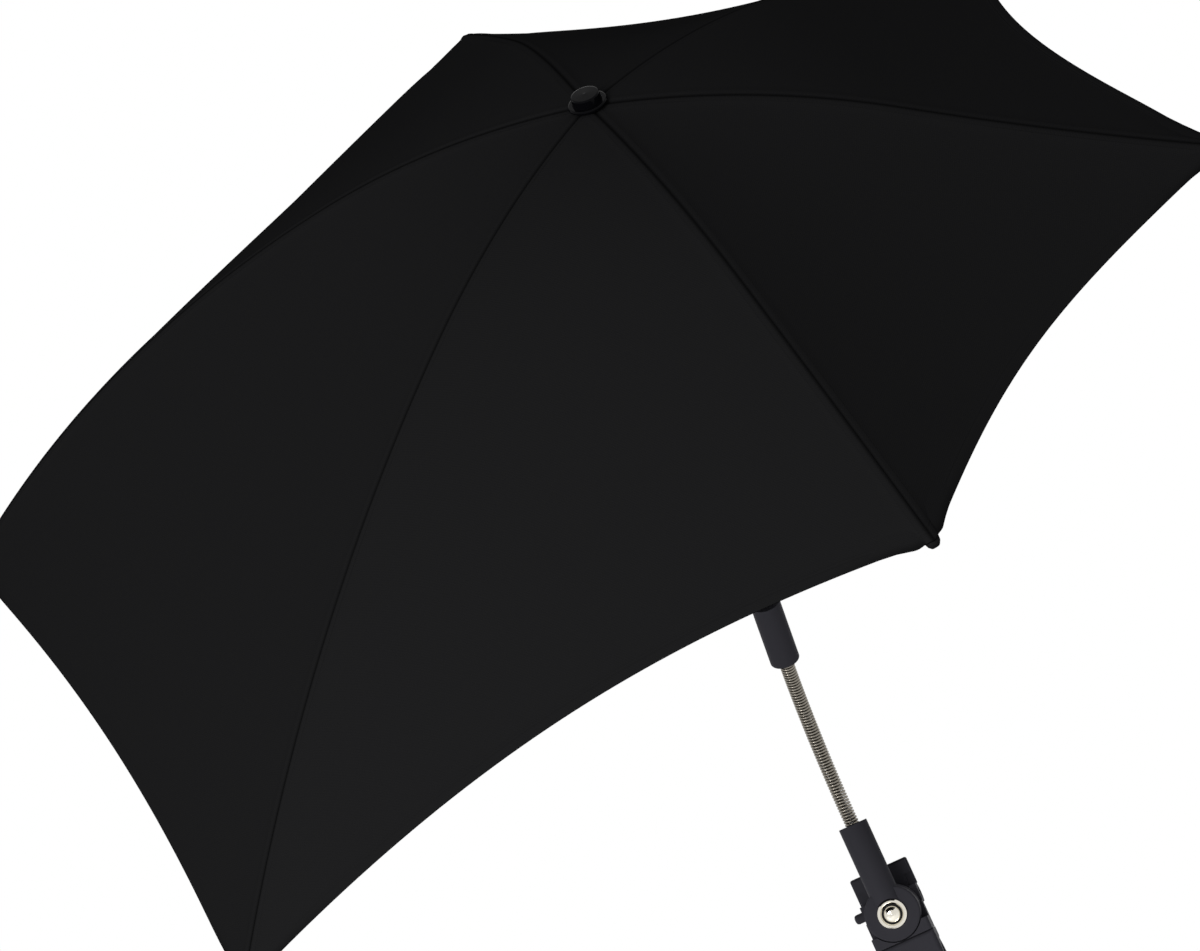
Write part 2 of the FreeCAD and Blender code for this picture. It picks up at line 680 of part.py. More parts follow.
def make_pivot_nut():
    rear = PLATE_REAR - NUT_SINK
    nut = nut_prism(NUT_AF, rear - NUT_T, rear)
    return nut.cut(cylinder(BOLT_D / 2 + PRESS_PLAY, (0, rear - 2 * NUT_T, PIVOT_Z), Y_AXIS, 4 * NUT_T))


def make_bracket():
    """The clip's front plate: pivot seat above the seam, ears for the jaw pin behind."""
    half = BRACKET_W / 2
    plate = box(-half, half, PLATE_FRONT, PLATE_REAR, SEAM_Z, PIVOT_Z)
    round_top = cylinder(KNUCKLE_D / 2, (0, PLATE_FRONT, PIVOT_Z), Y_AXIS, PLATE_T)
    skirt = box(-half, half, KNUCKLE_FRONT, PLATE_FRONT + LAP, SEAM_Z, PIVOT_Z - SKIRT_DROP)
    skirt = skirt.makeFillet(SKIRT_ROUND, [edge for edge in side_edges(skirt, half)
                                           if edge.CenterOfMass.y < KNUCKLE_FRONT + PRESS_PLAY])
    skirt = skirt.cut(cylinder(KNUCKLE_D / 2 + SKIRT_CLEAR, (0, KNUCKLE_FRONT - PAST, PIVOT_Z), Y_AXIS,
                               KNUCKLE_T + 2 * PAST))
    pieces = [round_top, skirt]
    for x in (-half, half - EAR_T):
        pieces.append(box(x, x + EAR_T, PLATE_REAR - LAP, JAW_PIN_Y, JAW_PIN_Z - EAR_R, JAW_PIN_Z + EAR_R))
        pieces.append(cylinder(EAR_R, (x, JAW_PIN_Y, JAW_PIN_Z), X_AXIS, EAR_T))
    pin_bore = cylinder(JAW_PIN_D / 2 + PIN_PRESS, (-half - PAST, JAW_PIN_Y, JAW_PIN_Z), X_AXIS,
                        2 * (half + PAST))
    pocket = nut_prism(NUT_AF + 2 * TURN_PLAY, PLATE_REAR - NUT_SINK - NUT_T - TURN_PLAY, PLATE_REAR + PAST)
    return joined(plate, pieces).cut([pin_bore, bolt_hole(PLATE_FRONT, PLATE_REAR), pocket] + screw_holes())


def side_edges(shape, half):
    """The edges of a box that lie in its two side faces."""
    return [edge for edge in shape.Edges if abs(edge.CenterOfMass.x) > half - LAP]


def screw_spots():
    aside = CLIP_W / 2 - SCREW_INSET
    return [(x, PLATE_REAR + TONGUE_T, SEAM_Z + SCREW_RISE) for x in (-aside, aside)]


def screw_holes():
    return [cylinder(SCREW_D / 2 + PRESS_PLAY, (x, y - SCREW_L - TURN_PLAY, z), Y_AXIS, SCREW_L + PAST)
            for x, y, z in screw_spots()]


def make_jaw_screws():
    radius, head = SCREW_D / 2, SCREW_HEAD_D / 2
    outline = [(0, -SCREW_L), (radius, -SCREW_L), (radius, PRESS_PLAY), (head, PRESS_PLAY),
               (head, SCREW_HEAD_H - SCREW_EDGE), (head - SCREW_EDGE, SCREW_HEAD_H), (0, SCREW_HEAD_H)]
    return Part.makeCompound([spun(outline, spot, Y_AXIS) for spot in screw_spots()])


def bore_space():
    """The room for the pads and the pram's tube, kept free in both jaws."""
    return cylinder(JAW_R, (-CLIP_W / 2 - PAST, 0, 0), X_AXIS, CLIP_W + 2 * PAST)


def make_front_jaw():
    half = CLIP_W / 2
    inner = half - TONGUE_INSET
    front = KNUCKLE_FRONT - SHOULDER_OUT
    shell = ring_sector(JAW_R, JAW_OUT_R, FRONT_START, FRONT_END, CLIP_W)
    shoulder = box(-half, half, front, PLATE_REAR, SHOULDER_FOOT, SEAM_Z - SEAM_T)
    shoulder = shoulder.makeFillet(SHOULDER_ROUND, [edge for edge in shoulder.Edges
                                                    if edge.CenterOfMass.y < front + PRESS_PLAY])
    rear = PLATE_REAR + PRESS_PLAY
    tongue = box(-inner, inner, rear, PLATE_REAR + TONGUE_T, JAW_FOOT, SEAM_Z + TONGUE_RISE)
    link = box(-inner, inner, rear + LAP - LINK_T, rear + LAP, JAW_FOOT, SEAM_Z - SEAM_T)
    return joined(shell, [shoulder, tongue, link]).cut([bore_space()] + screw_holes())


def make_pad(start, end):
    """A rubber pad inside a jaw that runs between two angles."""
    return ring_sector(BORE_R, BORE_R + PAD_T, start + PAD_INSET, end - PAD_INSET, PAD_W)


def make_rear_jaw():
    """The sprung half of the clip: thumb tab above the pin, jaw below it."""
    half = CLIP_W / 2
    web = half - EAR_T - BARREL_GAP
    tab_front, root_front = JAW_PIN_Y + TAB_FRONT, JAW_PIN_Y + ROOT_FRONT
    tab_top, step = PIVOT_Z + TAB_TOP, PIVOT_Z + TAB_STEP
    barrel = cylinder(BARREL_D / 2, (-web, JAW_PIN_Y, JAW_PIN_Z), X_AXIS, 2 * web)
    shell = ring_sector(JAW_R, JAW_OUT_R, REAR_START, REAR_END, REAR_W)
    stem = box(-web, web, JAW_PIN_Y - STEM_FRONT, JAW_PIN_Y + STEM_REAR, JAW_FOOT, JAW_PIN_Z)
    root = box(-web, web, root_front, root_front + ROOT_T, JAW_PIN_Z, step)
    tab = box(-half, half, tab_front, tab_front + TAB_T, PIVOT_Z + TAB_BOTTOM, tab_top)
    tab = tab.makeFillet(TAB_ROUND, side_edges(tab, half))
    ledge = box(-half + LEDGE_INSET, half - LEDGE_INSET, root_front, root_front + LEDGE_T,
                step, tab_top - LEDGE_DROP)
    room = SPRING_R + SPRING_WIRE / 2 + WELL_PLAY
    aside = (SPRING_W + SPRING_WIRE) / 2 + WELL_PLAY
    well = cylinder(room, (-aside, JAW_PIN_Y, JAW_PIN_Z), X_AXIS, 2 * aside)
    leg_room = box(-aside, aside, JAW_PIN_Y - PAST, JAW_PIN_Y + room,
                   JAW_PIN_Z, JAW_PIN_Z + SPRING_LEG + 2 * PAST)
    pin_bore = cylinder(JAW_PIN_D / 2 + TURN_PLAY, (-half, JAW_PIN_Y, JAW_PIN_Z), X_AXIS, CLIP_W)
    return joined(shell, [stem, barrel, root, tab, ledge]).cut([well, leg_room, pin_bore, bore_space()])


def make_jaw_pin():
    half = CLIP_W / 2 - PIN_INSET
    radius = JAW_PIN_D / 2
    length = 2 * half + PIN_STICKS_OUT
    outline = [(0, 0), (radius, 0), *rounded_end(radius, length, PIN_ROUND), (0, length)]
    return spun(outline, (half, JAW_PIN_Y, JAW_PIN_Z), Vector(-1, 0, 0))


def make_jaw_spring():
    pitch = SPRING_W / SPRING_TURNS
    side = Rotation(Vector(0, -1, 0), Vector(0, 0, -1), X_AXIS, "ZXY")

    def place(turn):
        return Placement(Vector(turn * pitch - SPRING_W / 2, JAW_PIN_Y, JAW_PIN_Z), side)

    return wound_wire(place, SPRING_TURNS, SPRING_R, SPRING_WIRE, SPRING_LEG)


def make_all():
    """Every node of the part in the row frame."""
    canopy = canopy_frame()
    lines = rib_lines()
    nodes = {}

    def in_canopy(name, shape, degrees=0.0):
        placed = turned(shape, degrees)
        placed.Placement = canopy.multiply(placed.Placement)
        nodes[name] = placed

    crown_pins = hub_pins()
    runner_pins = crown_pins.copy()
    runner_pins.translate(Vector(0, 0, -RUNNER_OPEN))
    in_canopy("finial_cap", make_finial())
    in_canopy("crown_hub", make_crown())
    in_canopy("crown_pins", crown_pins)
    in_canopy("runner", make_runner())
    in_canopy("runner_pins", runner_pins)
    in_canopy("shaft_tube", make_shaft())
    in_canopy("open_catch", make_catch())
    in_canopy("neck_sleeve", make_sleeve())
    stretcher = make_stretcher()
    stretcher.Placement = stretcher_frame()
    rivets = make_rivets()
    rivets.Placement = stretcher_frame()
    for number, line in enumerate(lines):
        degrees = RIB_TURNS[number]
        in_canopy("rib_%d" % (number + 1), make_rib(line), degrees)
        in_canopy("rib_tip_%d" % (number + 1), make_rib_tip(line), degrees)
        in_canopy("stretcher_%d" % (number + 1), stretcher, degrees)
        in_canopy("stretcher_rivets_%d" % (number + 1), rivets, degrees)
        in_canopy("canopy_gore_%d" % (number + 1), make_gore(number, lines))

    nodes["gooseneck_spring"], neck_gap = make_gooseneck()
    nodes["gooseneck_core"] = make_core()
    nodes["neck_knuckle"] = make_knuckle()
    nodes["pivot_bolt"] = make_bolt()
    nodes["pivot_ring"] = make_pivot_ring()
    nodes["pivot_washer"] = make_pivot_washer()
    nodes["pivot_nut"] = make_pivot_nut()
    nodes["clip_bracket"] = make_bracket()
    nodes["front_jaw"] = make_front_jaw()
    nodes["front_pad"] = make_pad(FRONT_START, FRONT_END)
    nodes["jaw_screws"] = make_jaw_screws()
    nodes["rear_jaw"] = make_rear_jaw()
    nodes["rear_pad"] = make_pad(REAR_START, REAR_END)
    nodes["jaw_pin"] = make_jaw_pin()
    nodes["jaw_spring"], jaw_gap = make_jaw_spring()
    print("gooseneck least gap %.3f mm, jaw spring least gap %.3f mm" % (neck_gap, jaw_gap))
    return nodes


def main():
    os.makedirs("parts", exist_ok=True)
    for name, shape in make_all().items():
        shape.exportStep("parts/%s.step" % name)
        print(name, len(shape.Solids), "valid" if shape.isValid() else "NOT VALID", round(shape.Volume))


if __name__ == "__main__":
    main()
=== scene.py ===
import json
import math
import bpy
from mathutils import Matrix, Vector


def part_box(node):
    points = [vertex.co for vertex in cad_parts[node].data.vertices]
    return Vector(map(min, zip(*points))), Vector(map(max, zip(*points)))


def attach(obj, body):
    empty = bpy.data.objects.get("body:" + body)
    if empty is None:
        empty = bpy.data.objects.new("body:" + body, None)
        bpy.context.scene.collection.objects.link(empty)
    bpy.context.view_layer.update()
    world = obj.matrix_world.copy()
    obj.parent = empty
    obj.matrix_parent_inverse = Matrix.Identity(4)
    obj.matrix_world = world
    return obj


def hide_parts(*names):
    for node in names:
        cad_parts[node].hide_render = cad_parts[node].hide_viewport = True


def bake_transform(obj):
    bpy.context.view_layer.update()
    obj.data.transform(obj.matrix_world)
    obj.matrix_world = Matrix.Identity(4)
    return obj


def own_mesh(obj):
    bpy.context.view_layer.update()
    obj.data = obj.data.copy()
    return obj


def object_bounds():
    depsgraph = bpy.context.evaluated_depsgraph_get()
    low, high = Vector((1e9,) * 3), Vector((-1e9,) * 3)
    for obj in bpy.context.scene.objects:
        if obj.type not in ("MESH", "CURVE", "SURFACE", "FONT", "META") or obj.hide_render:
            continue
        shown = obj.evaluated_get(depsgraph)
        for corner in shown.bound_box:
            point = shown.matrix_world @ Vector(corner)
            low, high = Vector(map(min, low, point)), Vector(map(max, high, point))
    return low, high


bl_info = {
    "name": "Pram Parasol",
    "version": (1, 0, 0),
    "blender": (4, 5, 0),
    "location": "View3D > Sidebar > Parasol",
    "description": "Dresses an off-centre pram parasol: cloth canopy, wound neck, sprung clip",
    "category": "Add Mesh",
}

import bpy
import numpy as np
from mathutils import Matrix, Vector

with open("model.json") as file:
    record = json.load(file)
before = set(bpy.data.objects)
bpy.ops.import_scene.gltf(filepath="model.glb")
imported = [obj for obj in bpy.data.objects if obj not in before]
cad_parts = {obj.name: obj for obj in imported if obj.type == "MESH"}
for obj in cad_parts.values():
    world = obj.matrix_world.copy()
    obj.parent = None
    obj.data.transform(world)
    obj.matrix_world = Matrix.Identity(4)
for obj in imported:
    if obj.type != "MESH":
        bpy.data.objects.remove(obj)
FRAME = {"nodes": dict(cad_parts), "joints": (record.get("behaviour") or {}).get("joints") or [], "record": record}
CAD_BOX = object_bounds()
JOINTS = {joint["name"]: joint for joint in FRAME["joints"]}
RIBS = range(1, 7)

# The cloth's relief, hem and seams, in metres
EAR_RUN = 0.0018
EAR_PLACE = 0.011
EAR_SPREAD = 0.006
SEAM_DEPTH = 0.0009
SEAM_SPREAD = 0.0013
PUFF_HEIGHT = 0.0003
PUFF_PLACE = 0.0045
PUFF_SPREAD = 0.0030
HEM_HEIGHT = 0.0003
HEM_EDGE = 0.0004
STITCH_DEPTH = 0.0003
STITCH_INSET = 0.0015
STITCH_SPREAD = 0.0007
CURL_DROP = 0.003
CURL_LENGTH = 0.014
CURL_NEAR = 0.008
CURL_FAR = 0.030
# Length and width of the painted shade on the hem beside a tip
HEM_SHADE_LENGTH = 0.004
HEM_SHADE_WIDTH = 0.045
UNDERLAP = 0.0012
TUCK_DEPTH = 0.00075
TUCK_EDGE = 0.0006

# How strongly painted shade darkens the hem beside a tip and a strip's edge, and the share of colour left in full
# painted shade
HEM_SHADE = 0.7
STRIP_EDGE_SHADE = 0.15
PAINTED_SHADE_SHARE = 0.4

# Rows and columns of points in the cloth; rows change over at so many hem widths from the hem
PANEL_ROWS = 90
PANEL_ROWS_TO = 1.6
HEM_ROWS = 15
HEM_ROWS_FROM = 1.4
SEAM_COLUMNS = 7
SEAM_COLUMNS_TO = 0.04
PANEL_COLUMNS = 24

# Shares of a panel: the step for normals, and how near the middle an edge may come
SMALL_STEP = 0.0008
PANEL_EDGE_LIMIT = 0.46
STRIP_EDGE_LIMIT = 0.49

# Columns across half a seam's strip: from, to and count
STRIP_OUTER = (1, 0.35, 6)
STRIP_INNER = (0.3, 0, 7)
STRIP_RIM = 0.99

# Each panel's place in hem_sag and panel_dip, and where along the ribs its way across is taken
PANEL_KINDS = (1, 2, 3, 2, 1, 0)
ASIDE_PLACE = 0.6

# A tip's pocket: place along the rib and half width, then its wall, top and foot, in metres
POCKET_OUTLINE = [(-0.0115, 0.0058), (-0.008, 0.0056), (-0.004, 0.0051), (0.0, 0.0045), (0.0028, 0.0039),
                  (0.0043, 0.0028)]
POCKET_WALL = 0.0004
POCKET_HIGH = 0.0034
POCKET_LOW = -0.0038
POCKET_TAPER = 0.4
POCKET_SIDE_ROUND = 0.8
POCKET_RISE_ROUND = 0.7
POCKET_CORNERS = 24

# The pivot's black band of painted shade: radius and depth behind the ring's front, then the ring's thickness, in
# metres
SHADE_RING_OUTLINE = [(0.00505, 0.0008), (0.00505, 0.0014), (0.0053, 0.0016), (0.0058, 0.0016), (0.0061, 0.0014),
                (0.0061, 0.0008)]
RING_THICKNESS = 0.0021
SHADE_RING_CORNERS = 64

# Points on a turn of wire, and in the neck's core
NECK_STEPS = 24
CORE_STEPS = 40
SPRING_STEPS = 32

# Surfaces: noise scales, bump depths in metres and spreads of roughness
SLUB_SCALE = 420.0
SLUB_DETAIL = 3.0
PATCH_SCALE = 60.0
MOULD_GRAIN = 1400.0
PLATE_GRAIN = 700.0
MASK_LOW = 0.3
MASK_HIGH = 0.7
CLOTH_ROUGHNESS = 0.62
CLOTH_SPREAD = (0.70, 0.84)
WEAVE_STRENGTH = 0.14
WEAVE_DEPTH = 0.0004
GRAIN_DEPTH = 0.0002
MOULD_SPREAD = 0.05
PLATE_SPREAD = (0.8, 1.25)

# The stage: lamps by name, way in the camera's axes, distance, size and watts
LAMPS = (
    ("key_lamp", (-0.48, 0.02, 0.88), 2.5, 1.2, 32),
    ("spark_lamp", (-0.50, -0.62, 0.60), 2.5, 0.2, 14),
)
SENSOR_WIDTH = 36.0
SOFT_LIGHT = 0.36
SEEN_WHITE = 1.0
FLOOR_GREY = 0.9
FLOOR_LIFT = 0.7
FLOOR_DROP = 0.9
FLOOR_REACH = 6.0


# Places taken from the frame

def joint_place(name):
    return Vector(JOINTS[name]["pos_m"])


def joint_axis(name):
    return Vector(JOINTS[name]["axis"]).normalized()


def rib_way(rib):
    """The direction in which a rib leaves the crown."""
    return joint_axis(f"rib_fold_{rib}").cross(joint_axis("runner_slide")).normalized()


def crown_hinge_radius():
    apart = (joint_place("rib_fold_1") - joint_place("rib_fold_6")).length
    return apart / (rib_way(1) - rib_way(6)).length


def canopy_matrix():
    """The canopy's own frame: origin at the crown, X to the long side, Z up the shaft."""
    up = joint_axis("runner_slide")
    ahead = (rib_way(1) + rib_way(6)).normalized()
    across = up.cross(ahead)
    crown = joint_place("rib_fold_1") - rib_way(1) * crown_hinge_radius()
    matrix = Matrix((ahead, across, up)).transposed().to_4x4()
    matrix.translation = crown
    return matrix


CANOPY = canopy_matrix()


def rib_angle(rib):
    """A rib's turn about the shaft, from the middle of the long side."""
    way = CANOPY.to_3x3().transposed() @ rib_way(rib)
    return math.atan2(way.y, way.x)


# Sizes and colours that a user would change

class ParasolCanopy(bpy.types.PropertyGroup):
    long_reach: bpy.props.FloatProperty(
        name="Long reach", description="Radius of the two long ribs' tips", default=0.469, unit="LENGTH")
    side_reach: bpy.props.FloatProperty(
        name="Side reach", description="Radius of the two side ribs' tips", default=0.350, unit="LENGTH")
    short_reach: bpy.props.FloatProperty(
        name="Short reach", description="Radius of the two short ribs' tips", default=0.338, unit="LENGTH")
    long_drop: bpy.props.FloatProperty(
        name="Long drop", description="How far the long tips lie below the crown",
        default=0.249, unit="LENGTH")
    side_drop: bpy.props.FloatProperty(
        name="Side drop", description="How far the side tips lie below the crown",
        default=0.121, unit="LENGTH")
    short_drop: bpy.props.FloatProperty(
        name="Short drop", description="How far the short tips lie below the crown",
        default=0.101, unit="LENGTH")
    joint_reach: bpy.props.FloatProperty(
        name="Joint reach", description="Radius of the stretchers' joints on the ribs",
        default=0.170, unit="LENGTH")
    joint_drop: bpy.props.FloatProperty(
        name="Joint drop", description="How far those joints lie below the crown",
        default=0.038, unit="LENGTH")
    crown_slope: bpy.props.FloatProperty(
        name="Crown slope", description="Slope of the ribs at the crown",
        default=math.radians(3.5), subtype="ANGLE")
    cloth_lift: bpy.props.FloatProperty(
        name="Cloth lift", description="Height of the cloth's underside over a rib's middle", default=0.0043,
        unit="LENGTH")
    cloth_thickness: bpy.props.FloatProperty(
        name="Cloth thickness", description="Thickness of the cloth with its seams",
        default=0.0006, unit="LENGTH")
    crown_opening: bpy.props.FloatProperty(
        name="Crown opening", description="Radius of the hole under the cap", default=0.007, unit="LENGTH")
    hem_sag: bpy.props.FloatVectorProperty(
        name="Hem sag",
        description="Share of length by which the hem curves in, on visor, flanks, sides and back",
        size=4, default=(0.04, 0.06, 0.10, 0.14))
    panel_dip: bpy.props.FloatVectorProperty(
        name="Panel dip", description="Share of width by which cloth dips, on visor, flanks, sides and back",
        size=4, default=(0.02, -0.02, 0.06, -0.02))
    folded_share: bpy.props.FloatProperty(
        name="Folded share", description="Share of a half panel's width that is left when it is folded",
        default=0.42)
    tip_back: bpy.props.FloatProperty(
        name="Tip back", description="How far a rib's wire ends inside the hem", default=0.004, unit="LENGTH")
    seam_half: bpy.props.FloatProperty(
        name="Seam half width", description="Half the width of the sewn strip over a rib",
        default=0.005, unit="LENGTH")
    hem_width: bpy.props.FloatProperty(
        name="Hem width", description="Width of the turned hem", default=0.009, unit="LENGTH")


class ParasolNeck(bpy.types.PropertyGroup):
    free_length: bpy.props.FloatProperty(
        name="Free length", description="Length of the wound neck between socket and sleeve", default=0.113,
        unit="LENGTH")
    lean: bpy.props.FloatProperty(
        name="Lean", description="Angle by which the neck is bent",
        default=math.radians(36.5), subtype="ANGLE")
    outer: bpy.props.FloatProperty(
        name="Outer diameter", description="Diameter over the winding", default=0.009, unit="LENGTH")
    wire: bpy.props.FloatProperty(
        name="Wire", description="Diameter of the wound wire", default=0.0016, unit="LENGTH")
    turns: bpy.props.IntProperty(
        name="Turns", description="Turns between socket and sleeve", default=61)
    hidden_turns: bpy.props.IntProperty(
        name="Hidden turns", description="Turns held inside the socket and the sleeve", default=6)
    core: bpy.props.FloatProperty(
        name="Core", description="Diameter of the wire inside the winding", default=0.003, unit="LENGTH")


class ParasolSpring(bpy.types.PropertyGroup):
    radius: bpy.props.FloatProperty(
        name="Radius", description="Radius of the clip spring's turns", default=0.0059, unit="LENGTH")
    wire: bpy.props.FloatProperty(
        name="Wire", description="Diameter of the clip spring's wire", default=0.0016, unit="LENGTH")
    turns: bpy.props.FloatProperty(
        name="Turns", description="Turns of the clip spring", default=4.5)
    width: bpy.props.FloatProperty(
        name="Width", description="Width of the clip spring's turns along the pin",
        default=0.0094, unit="LENGTH")
    leg: bpy.props.FloatProperty(
        name="Leg", description="Length of the two straight ends", default=0.009, unit="LENGTH")


class ParasolFinish(bpy.types.PropertyGroup):
    cloth: bpy.props.FloatVectorProperty(
        name="Cloth", description="Colour of the canopy's cloth",
        default=(0.0114, 0.0114, 0.0119), subtype="COLOR")
    plastic: bpy.props.FloatVectorProperty(
        name="Plastic", description="Colour of the moulded pieces",
        default=(0.042, 0.0412, 0.049), subtype="COLOR")
    gloss: bpy.props.FloatVectorProperty(
        name="Gloss", description="Colour of the polished pieces",
        default=(0.002, 0.002, 0.0026), subtype="COLOR")
    paint: bpy.props.FloatVectorProperty(
        name="Paint", description="Colour of the painted ribs and shaft", default=(0.012, 0.012, 0.013),
        subtype="COLOR")
    nickel: bpy.props.FloatVectorProperty(
        name="Nickel", description="Colour of the neck's plated wire",
        default=(0.22, 0.202, 0.172), subtype="COLOR")
    bright: bpy.props.FloatVectorProperty(
        name="Bright nickel", description="Colour of the pivot's bolt and ring", default=(0.70, 0.67, 0.59),
        subtype="COLOR")
    steel: bpy.props.FloatVectorProperty(
        name="Steel", description="Colour of bare pins and springs",
        default=(0.42, 0.42, 0.43), subtype="COLOR")
    rubber: bpy.props.FloatVectorProperty(
        name="Rubber", description="Colour of the jaw pads", default=(0.016, 0.016, 0.016), subtype="COLOR")


class ParasolView(bpy.types.PropertyGroup):
    turn: bpy.props.FloatProperty(
        name="Turn", description="Camera's turn about the shaft from the long side",
        default=math.radians(78.81), subtype="ANGLE")
    rise: bpy.props.FloatProperty(
        name="Rise", description="Camera's height angle over the canopy's base plane",
        default=math.radians(32.93), subtype="ANGLE")
    roll: bpy.props.FloatProperty(
        name="Roll", description="How far the shaft leans to the left in the picture",
        default=math.radians(20.19), subtype="ANGLE")
    distance: bpy.props.FloatProperty(
        name="Distance", description="Distance from the point looked at", default=3.519, unit="LENGTH")
    look_at: bpy.props.FloatVectorProperty(
        name="Look at", description="Point in the middle of the picture, in the canopy's frame",
        default=(0.0846, 0.0919, -0.1590), unit="LENGTH")
    lens: bpy.props.FloatProperty(
        name="Lens", description="Focal length in millimetres on a 36 mm wide sensor", default=189.4)


GROUPS = {
    "parasol_canopy": ParasolCanopy,
    "parasol_neck": ParasolNeck,
    "parasol_spring": ParasolSpring,
    "parasol_finish": ParasolFinish,
    "parasol_view": ParasolView,
}


# Shader node groups and materials

def new_group(name, inputs, outputs):
    """A shader node group with value inputs and the given outputs."""
    group = bpy.data.node_groups.new(name, "ShaderNodeTree")
    for label, default in inputs:
        socket = group.interface.new_socket(label, in_out="INPUT", socket_type="NodeSocketFloat")
        socket.default_value = default
    for label, kind in outputs:
        group.interface.new_socket(label, in_out="OUTPUT", socket_type=kind)
    return group, group.nodes.new("NodeGroupInput"), group.nodes.new("NodeGroupOutput")


def math_node(group, operation, first, second):
    node = group.nodes.new("ShaderNodeMath")
    node.operation = operation
    for socket, value in zip(node.inputs, (first, second)):
        if isinstance(value, (int, float)):
            socket.default_value = value
        else:
            group.links.new(value, socket)
    return node.outputs[0]


def weave_group():
    """Plain weave from two crossed wave bands on the cloth's own map, with slubs."""
    group, given, out = new_group(
        "cloth_weave", [("Threads per metre", 1100.0), ("Slub", 0.25)],
        [("Height", "NodeSocketFloat"), ("Shade", "NodeSocketFloat")])
    place = group.nodes.new("ShaderNodeTexCoord")
    split = group.nodes.new("ShaderNodeSeparateXYZ")
    group.links.new(place.outputs["UV"], split.inputs[0])
    bands = []
    for axis in ("X", "Y"):
        turns = math_node(group, "MULTIPLY", split.outputs[axis], given.outputs["Threads per metre"])
        angle = math_node(group, "MULTIPLY", turns, math.pi)
        bands.append(math_node(group, "SINE", angle, 0.0))
    height = math_node(group, "MULTIPLY", bands[0], bands[1])
    noise = group.nodes.new("ShaderNodeTexNoise")
    noise.inputs["Scale"].default_value = SLUB_SCALE
    noise.inputs["Detail"].default_value = SLUB_DETAIL
    group.links.new(place.outputs["Object"], noise.inputs["Vector"])
    slub = math_node(group, "MULTIPLY", noise.outputs["Fac"], given.outputs["Slub"])
    group.links.new(math_node(group, "ADD", height, slub), out.inputs["Height"])
    group.links.new(noise.outputs["Fac"], out.inputs["Shade"])
    return group


def grain_group():
    """Fine moulded or plated grain: a height and a mask."""
    group, given, out = new_group(
        "surface_grain", [("Scale", 900.0), ("Detail", 2.0)],
        [("Height", "NodeSocketFloat"), ("Mask", "NodeSocketFloat")])
    place = group.nodes.new("ShaderNodeTexCoord")
    fine = group.nodes.new("ShaderNodeTexNoise")
    group.links.new(place.outputs["Object"], fine.inputs["Vector"])
    group.links.new(given.outputs["Scale"], fine.inputs["Scale"])
    group.links.new(given.outputs["Detail"], fine.inputs["Detail"])
    broad = group.nodes.new("ShaderNodeTexNoise")
    broad.inputs["Scale"].default_value = PATCH_SCALE
    group.links.new(place.outputs["Object"], broad.inputs["Vector"])
    group.links.new(fine.outputs["Fac"], out.inputs["Height"])
    group.links.new(broad.outputs["Fac"], out.inputs["Mask"])
    return group


def shared_group(name, maker):
    return bpy.data.node_groups.get(name) or maker()


def new_material(name, colour, roughness, metallic=0.0):
    material = bpy.data.materials.new(name)
    material.use_nodes = True
    shader = material.node_tree.nodes["Principled BSDF"]
    shader.inputs["Base Color"].default_value = (*colour, 1.0)
    shader.inputs["Roughness"].default_value = roughness
    shader.inputs["Metallic"].default_value = metallic
    return material, material.node_tree, shader


def add_bump(tree, shader, height, strength, distance):
    bump = tree.nodes.new("ShaderNodeBump")
    bump.inputs["Strength"].default_value = strength
    bump.inputs["Distance"].default_value = distance
    tree.links.new(height, bump.inputs["Height"])
    tree.links.new(bump.outputs["Normal"], shader.inputs["Normal"])


def vary(tree, mask, socket, low, high):
    """Runs a socket between two values by a mask."""
    spread = tree.nodes.new("ShaderNodeMapRange")
    spread.inputs["From Min"].default_value = MASK_LOW
    spread.inputs["From Max"].default_value = MASK_HIGH
    spread.inputs["To Min"].default_value = low
    spread.inputs["To Max"].default_value = high
    tree.links.new(mask, spread.inputs["Value"])
    tree.links.new(spread.outputs[0], socket)


def cloth_material(finish):
    """Dull woven cloth, with shade painted into its colour in the seams, at strip edges and on the hem beside the
    tips.
    """
    material, tree, shader = new_material("canopy_cloth_finish", finish.cloth, CLOTH_ROUGHNESS)
    shader.inputs["Specular IOR Level"].default_value = 0.0
    weave = tree.nodes.new("ShaderNodeGroup")
    weave.node_tree = shared_group("cloth_weave", weave_group)
    add_bump(tree, shader, weave.outputs["Height"], WEAVE_STRENGTH, WEAVE_DEPTH)
    vary(tree, weave.outputs["Shade"], shader.inputs["Roughness"], *CLOTH_SPREAD)
    # The seam attribute is painted shade: it mixes the cloth's colour towards a darker share of itself
    seam = tree.nodes.new("ShaderNodeAttribute")
    seam.attribute_name = "seam"
    shadow = tree.nodes.new("ShaderNodeMix")
    shadow.data_type = "RGBA"
    tree.links.new(seam.outputs["Fac"], shadow.inputs["Factor"])
    shadow.inputs["A"].default_value = (*finish.cloth, 1.0)
    shadow.inputs["B"].default_value = (*[PAINTED_SHADE_SHARE * part for part in finish.cloth], 1.0)
    tree.links.new(shadow.outputs["Result"], shader.inputs["Base Color"])
    return material


def moulded_material(name, colour, roughness, strength, gloss):
    """Moulded plastic, paint or rubber; strength is the grain's."""
    material, tree, shader = new_material(name, colour, roughness)
    shader.inputs["Specular IOR Level"].default_value = gloss
    grain = tree.nodes.new("ShaderNodeGroup")
    grain.node_tree = shared_group("surface_grain", grain_group)
    grain.inputs["Scale"].default_value = MOULD_GRAIN
    add_bump(tree, shader, grain.outputs["Height"], strength, GRAIN_DEPTH)
    spread = (roughness - MOULD_SPREAD, roughness + MOULD_SPREAD)
    vary(tree, grain.outputs["Mask"], shader.inputs["Roughness"], *spread)
    return material


